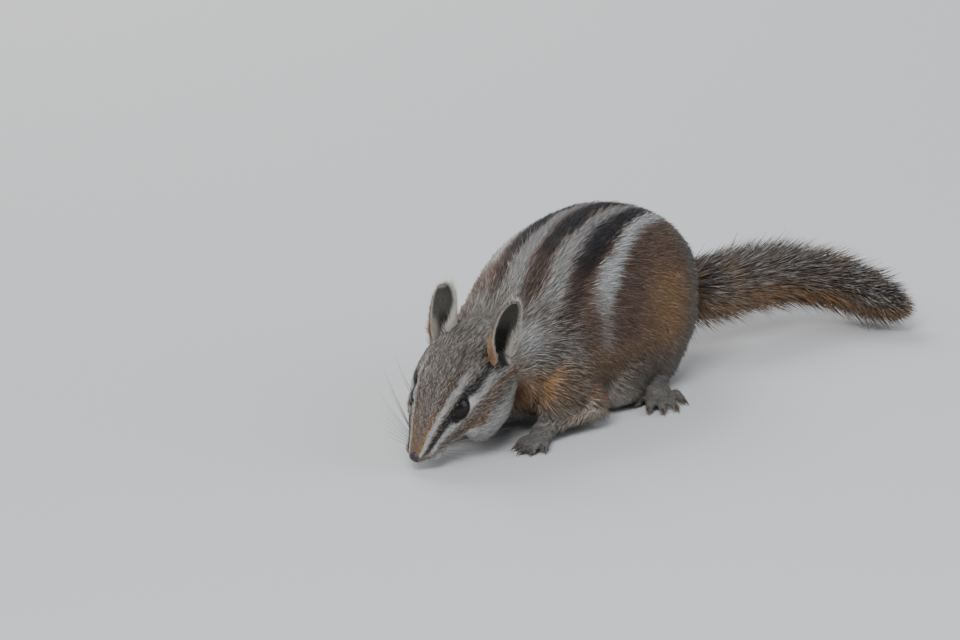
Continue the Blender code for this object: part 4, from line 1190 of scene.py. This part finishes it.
middle_local = in_head(triangle_middles)
head_share = on_head(triangle_middles)
tail_share = on_tail(triangle_middles)
foot_share = on_feet(triangle_middles)
quick_share = 1.0
bodily = (triangle_ears < 0.5) & (tail_share < 0.5) & (foot_share < 0.5)
clear = (eye_clearance(middle_local) > 1.1) & (nose_clearance(middle_local) > 0)
clear &= ear_cup(triangle_middles) < 0.4
middle_along, middle_side, _ = in_trunk(triangle_middles).T
on_trunk = bodily & (head_share < 0.5)
regions = {"coat_head": bodily & (head_share >= 0.5) & clear}
for word, sign in SIDES:
    own_side = on_trunk & (middle_side * sign >= 0)
    regions["coat_shoulder_" + word] = own_side & (middle_along < -2)
    regions["coat_flank_" + word] = own_side & (middle_along >= -2) & (middle_along < 22)
    regions["coat_rump_" + word] = own_side & (middle_along >= 22)
density = BODY_HAIR[0] + (look_up(HEAD_COAT, middle_local[:, 0]) - BODY_HAIR[0]) * head_share
for seed, (name, inside) in enumerate(regions.items()):
    cover(name, density * inside, seed)

# Hair of the feet
# Short and close, lying along the toes; the soles stay bare.
FOOT_HAIRS = 18.0  # to the square millimetre
density = FOOT_HAIRS * (foot_share >= 0.5) * (triangle_normals[:, 2] > -0.5) * (tail_share < 0.5)
roots, _, chance = draw_roots(density * quick_share, 21)
count = len(roots[0])
make_tufts("coat_feet", roots, lie_of_hair(roots[0], roots[1]), chance.uniform(0.8, 1.4, count),
           np.full(count, 0.16), chance.uniform(8, 20, count), 1, chance, frost=0.7)

# Hair of the ears
# A dense short nap outside, thinner inside, and a longer pale fringe along the rear edge.
triangle_parts = part[corner_points].mean(axis=1)
EAR_HAIRS = (12.0, 22.0)  # to the square millimetre, inside and outside
EAR_LIE = HEAD_TURNED[:, 2] + 0.5 * HEAD_TURNED[:, 0]
density = np.where(triangle_parts[:, 0] > 0, *EAR_HAIRS) * (triangle_ears >= 0.5)
density *= np.where(np.abs(triangle_parts[:, 2]) > 0.9, 2.2, 1.0)
roots, parts, chance = draw_roots(density * quick_share, 22)
_, facing, _, _ = roots
count = len(facing)
field = np.tile(EAR_LIE, (count, 1))
lies = unit(field - facing * (field * facing).sum(axis=1)[:, None])
fringe = soft(0.85, 0.97, np.abs(parts[:, 2])) * np.where(parts[:, 2] < 0, 1.0, 0.1)
deep = soft(0.4, 0.1, parts[:, 1]) * soft(0.4, 0.8, np.abs(parts[:, 2]))
length = chance.uniform(0.7, 1.4, count) * (1 + 1.0 * fringe + 0.8 * deep)
make_tufts("coat_ears", roots, lies, length, np.full(count, 0.14),
           chance.uniform(8, 20, count) + 16 * fringe, 1, chance, frost=0.15)

# Bush of the tail
# Long hairs that leave the tail at a wide angle, each rusty near the bone, then black, then buff, so
# that the tail is frosted along its edges and warm down its middle.
tail_finish = Finish("tail_coat", roughness=0.58, specular=0.25)
_, share, own, rust = strand_parts(tail_finish)
band = share + (own - 0.5) * 0.34
grey_hair = tail_finish.node("ShaderNodeValToRGB", {"stops": (
    (0.0, (0.190, 0.115, 0.065)), (0.40, (0.210, 0.135, 0.085)), (0.54, (0.052, 0.042, 0.038)),
    (0.74, (0.050, 0.042, 0.040)), (0.85, (0.290, 0.265, 0.230)), (1.0, (0.340, 0.320, 0.285)))},
    {"Fac": band})
rusty_hair = tail_finish.node("ShaderNodeValToRGB", {"stops": (
    (0.0, (0.260, 0.125, 0.050)), (0.66, (0.350, 0.180, 0.075)), (0.76, (0.090, 0.060, 0.042)),
    (0.90, (0.300, 0.220, 0.140)), (1.0, (0.330, 0.260, 0.180)))}, {"Fac": band})
bands = tail_finish.node("ShaderNodeMix", {"data_type": "RGBA"}, {
    0: rust, 6: grey_hair, 7: rusty_hair}, output=2)
shade_hair(tail_finish, bands, share, own, darkest=0.5)
TAIL_HAIRS = 15.0  # to the square millimetre
TAIL_HAIR_WIDTH = 0.32
RUSTIEST = 0.85
roots, _, chance = draw_roots(TAIL_HAIRS * (tail_share >= 0.5) * quick_share, 23)
shares = along_tail(roots[0])
radius = np.interp(shares, TAIL_SHARES, TAIL_LINE[:, 3])
length = radius * 1.40 * chance.uniform(0.62, 1.06, len(shares))
at_rump = soft(0.10, 0.0, shares)
lift = chance.uniform(24, 56, len(shares)) * (1 - 0.6 * at_rump) * (1 - 0.5 * soft(0.88, 1.0, shares))
length *= 1 - 0.25 * at_rump
for name, low, high in (("coat_tail_base", 0.0, 0.38), ("coat_tail_middle", 0.38, 0.69),
                        ("coat_tail_tip", 0.69, 1.1)):
    own_part = (shares >= low) & (shares < high)
    own_roots = [values[own_part] for values in roots]
    places, facing, _, _ = own_roots
    rust = soft(0.3, -0.5, facing[:, 2]) + 0.45 * soft(0.2, 0.9, wander(places, 12.0, 12))
    rust *= 0.25 + 0.75 * soft(0.02, 0.2, shares[own_part])
    make_tufts(name, own_roots, lie_of_hair(places, facing), length[own_part],
               np.full(len(places), TAIL_HAIR_WIDTH), lift[own_part], 2, chance,
               frost=np.minimum(rust, 1) * RUSTIEST, bend=0.2, sway=0.2, finish=tail_finish)


# Eyes
# Large, wet, brown-black balls set well back in the head, only their almond front showing. The skin
# forms the lids over them.
eye_finish = Finish("eye", roughness=0.13, specular=0.28)
tone_by(eye_finish, "ShaderNodeTexNoise", {"Scale": 900.0, "Detail": 2.0},
        ((0.35, (0.006, 0.005, 0.005)), (0.75, (0.016, 0.010, 0.007))))
for word, sign in SIDES:
    bm = bmesh.new()
    bmesh.ops.create_uvsphere(bm, u_segments=64, v_segments=40, radius=EYE_RADIUS,
                              matrix=HEAD_PLACE @ Matrix.Translation(eye_centre(sign)))
    eye = link("eyeball_" + word, bm)
    eye.data.materials.append(eye_finish.material)
    to_model(eye)
    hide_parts("eye_" + word)
    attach(eye, "root")

# Nose
# A small bare pad, dark and finely grained, with a comma-shaped nostril on each side.
bm = bmesh.new()
bmesh.ops.create_uvsphere(bm, u_segments=56, v_segments=40, radius=1,
                          matrix=Matrix.Translation((1.4, 0.0, 0.3)) @ Matrix.Diagonal((1.75, 1.7, 1.4, 1)))
for vert in bm.verts:
    back, side, height = vert.co
    away = math.hypot((abs(side) - 0.95) / 0.55, (height - 0.25 - 0.3 * (abs(side) - 0.9)) / 0.36)
    if back < 1.6:
        vert.co.x += 0.75 * math.exp(-away ** 2)
        vert.co.x += 0.28 * math.exp(-(side / 0.16) ** 2) * (1 if height < 0.6 else 0.3)
    vert.co = HEAD_PLACE @ vert.co
nose = link("nose_pad", bm)
nose_finish = Finish("bare_nose", roughness=0.38, specular=0.5)
grain = tone_by(nose_finish, "ShaderNodeTexVoronoi", {"Scale": 5200.0},
                ((0.0, (0.050, 0.036, 0.033)), (1.0, (0.022, 0.017, 0.016))))
nose_finish.feed("Normal", nose_finish.node("ShaderNodeBump", None, {
    "Strength": 0.6, "Distance": 0.0001, "Height": 1 - grain}))
nose.data.materials.append(nose_finish.material)
to_model(nose)
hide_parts("nose")
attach(nose, "root")

# Claws
# Small curved hooks of dark horn, finely mottled paler, one at the end of each toe.
CLAW_LENGTH = 2.2
CLAW_RADIUS = 0.5
CLAW_SIDES = 12
CLAW_ROOT = 0.6  # how far it begins inside the toe
CLAW_DROP = 0.85
CLAW_NARROW = 0.8  # its width, as a share of its height


def round_ring(bm, matrix, middle, across, upward, sides):
    """A ring of points round a middle, with its half width and half height."""
    ring = []
    for corner in range(sides):
        turn = 2 * math.pi * corner / sides
        ring.append(bm.verts.new(matrix @ (middle + across * math.cos(turn) + upward * math.sin(turn))))
    return ring


def add_claw(bm, matrix, start, ahead):
    """Shrinking rings along a curve that bends down, closed at both ends."""
    across = Vector((-ahead.y, ahead.x, 0)) * CLAW_NARROW
    rings = []
    for step in range(9):
        share = step / 8.2
        radius = CLAW_RADIUS * (1 - share) ** 0.75
        middle = start + ahead * (CLAW_LENGTH * share - CLAW_ROOT)
        middle += Vector((0, 0, 0.25 - CLAW_DROP * share ** 2))
        rings.append(round_ring(bm, matrix, middle, across * radius, Vector((0, 0, radius)), CLAW_SIDES))
    join_rings(bm, rings)


bm = bmesh.new()
for word, sign in SIDES:
    for place, _, toes in feet_of(word, sign):
        for toe in toes:
            _, _, tip, ahead = toe_stations(*toe)
            add_claw(bm, place, tip + ahead * 0.8 + Vector((0, 0, 0.1)), ahead)
bmesh.ops.recalc_face_normals(bm, faces=bm.faces)
for vert in bm.verts:
    vert.co.z = max(vert.co.z, 0.06)
claws = link("claws", bm)
claw_finish = Finish("claw", roughness=0.34, specular=0.5)
tone_by(claw_finish, "ShaderNodeTexNoise", {"Scale": 1800.0, "Detail": 4.0},
        ((0.3, (0.030, 0.022, 0.018)), (0.7, (0.110, 0.080, 0.058))))
claws.data.materials.append(claw_finish.material)
to_model(claws)
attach(claws, "root")

# Whiskers
# Stiff tapered hairs rooted in four rows on each side of the muzzle, swept out, back and a little up,
# with two more over each eye.
WHISKER_RADIUS = 0.065
WHISKER_SIDES = 6
WHISKER_TAPER = 0.88
chance = np.random.default_rng(31)
bm = bmesh.new()


def add_whisker(bm, root, direction, length, droop):
    """A thin tube that tapers to a point, in the head's frame, bending away from its first line."""
    direction = direction.normalized()
    across = direction.cross(Vector((0, 0, 1))).normalized()
    upward = direction.cross(across)
    rings = []
    for step in range(13):
        share = step / 12
        middle = root + direction * length * share + Vector((0.35, 0, -1)) * droop * length * share ** 2
        radius = WHISKER_RADIUS * (1 - WHISKER_TAPER * share)
        rings.append(round_ring(bm, HEAD_PLACE, middle, across * radius, upward * radius, WHISKER_SIDES))
    join_rings(bm, rings)


for word, sign in SIDES:
    for row in range(4):
        for column in range(3):
            root = Vector((4.4 + 1.3 * column, sign * (2.9 + 0.75 * column), 0.9 - 0.75 * row))
            direction = Vector((0.15 + 0.30 * column, sign * 0.95, 0.40 - 0.16 * row))
            length = 9.0 + 4.0 * column + chance.uniform(-1.5, 3.0)
            add_whisker(bm, root, direction, length, chance.uniform(0.02, 0.12))
    for step in range(2):
        root = Vector((10.6 + step, sign * (4.6 + 0.5 * step), 8.6))
        add_whisker(bm, root, Vector((0.5, sign * 0.75, 0.9)), 8.0 + 2 * step, 0.1)
bmesh.ops.recalc_face_normals(bm, faces=bm.faces)
for vert in bm.verts:
    vert.co.z = max(vert.co.z, 0.15)
whiskers = link("whiskers", bm)
whisker_finish = Finish("whisker", roughness=0.4, specular=0.4)
tone_by(whisker_finish, "ShaderNodeTexNoise", {"Scale": 260.0, "Detail": 1.0},
        ((0.35, (0.030, 0.025, 0.022)), (0.70, (0.220, 0.190, 0.160))))
whiskers.data.materials.append(whisker_finish.material)
to_model(whiskers)
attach(whiskers, "root")

# Floor, light and camera
# A plain pale floor under a large soft light, seen from the photograph's side by a long lens.
bm = bmesh.new()
bmesh.ops.create_grid(bm, x_segments=1, y_segments=1, size=3.0)
floor = link("floor", bm)
floor_finish = Finish("floor", roughness=0.9, specular=0.2)
floor_finish.feed("Base Color", (0.62, 0.61, 0.60, 1))
floor.data.materials.append(floor_finish.material)


def add_light(name, place, size, power, colour=(1, 1, 1)):
    light = bpy.data.lights.new(name, "AREA")
    light.size = size
    light.energy = power
    light.color = colour
    obj = bpy.data.objects.new(name, light)
    obj.location = place
    obj.rotation_euler = (-Vector(place)).to_track_quat("-Z", "Y").to_euler()
    bpy.context.scene.collection.objects.link(obj)


add_light("key", (-0.55, -0.45, 0.75), 0.5, 8.4, (0.95, 0.975, 1.0))
add_light("fill", (0.45, -0.70, 0.45), 0.7, 3.0, (0.88, 0.93, 1.0))
add_light("rim", (0.25, 0.65, 0.60), 0.5, 5.0)
world = bpy.data.worlds.new("studio")
world.use_nodes = True
world.node_tree.nodes["Background"].inputs["Color"].default_value = (0.76, 0.82, 0.92, 1)
world.node_tree.nodes["Background"].inputs["Strength"].default_value = 0.5
bpy.context.scene.world = world

AZIMUTH = -40
ELEVATION = 16.5
ROLL = 4
PIXELS_PER_MM = 4.45
NOSE_PIXEL = (413, 461)
NOSE_FRONT = (-0.4, 0, 0.3)  # in the head's frame
PHOTO_SIZE = (960, 640)
CAMERA_DISTANCE = 2500.0
SENSOR = 36.0
a, e, r = [math.radians(angle) for angle in (AZIMUTH, ELEVATION, ROLL)]
backward = Vector((math.sin(a) * math.cos(e), -math.cos(a) * math.cos(e), math.sin(e)))
right = Vector((math.cos(a), math.sin(a), 0))
upward = backward.cross(right)
rolled_right = right * math.cos(r) - upward * math.sin(r)
rolled_up = right * math.sin(r) + upward * math.cos(r)
nose_right = (NOSE_PIXEL[0] - PHOTO_SIZE[0] / 2) / PIXELS_PER_MM
nose_up = (PHOTO_SIZE[1] / 2 - NOSE_PIXEL[1]) / PIXELS_PER_MM
nose_front = HEAD_PLACE @ Vector(NOSE_FRONT)
aim = nose_front - rolled_right * nose_right - rolled_up * nose_up
camera_data = bpy.data.cameras.new("camera")
camera_data.sensor_width = SENSOR
camera_data.lens = SENSOR * CAMERA_DISTANCE * PIXELS_PER_MM / PHOTO_SIZE[0]
camera_data.clip_start = 0.1
camera_data.clip_end = 20
camera = bpy.data.objects.new("camera", camera_data)
axes = Matrix((rolled_right, rolled_up, backward)).transposed().to_4x4()
camera.matrix_world = Matrix.Translation(ORIGIN + (aim + backward * CAMERA_DISTANCE) * MM) @ axes
bpy.context.scene.collection.objects.link(camera)
bpy.context.scene.camera = camera
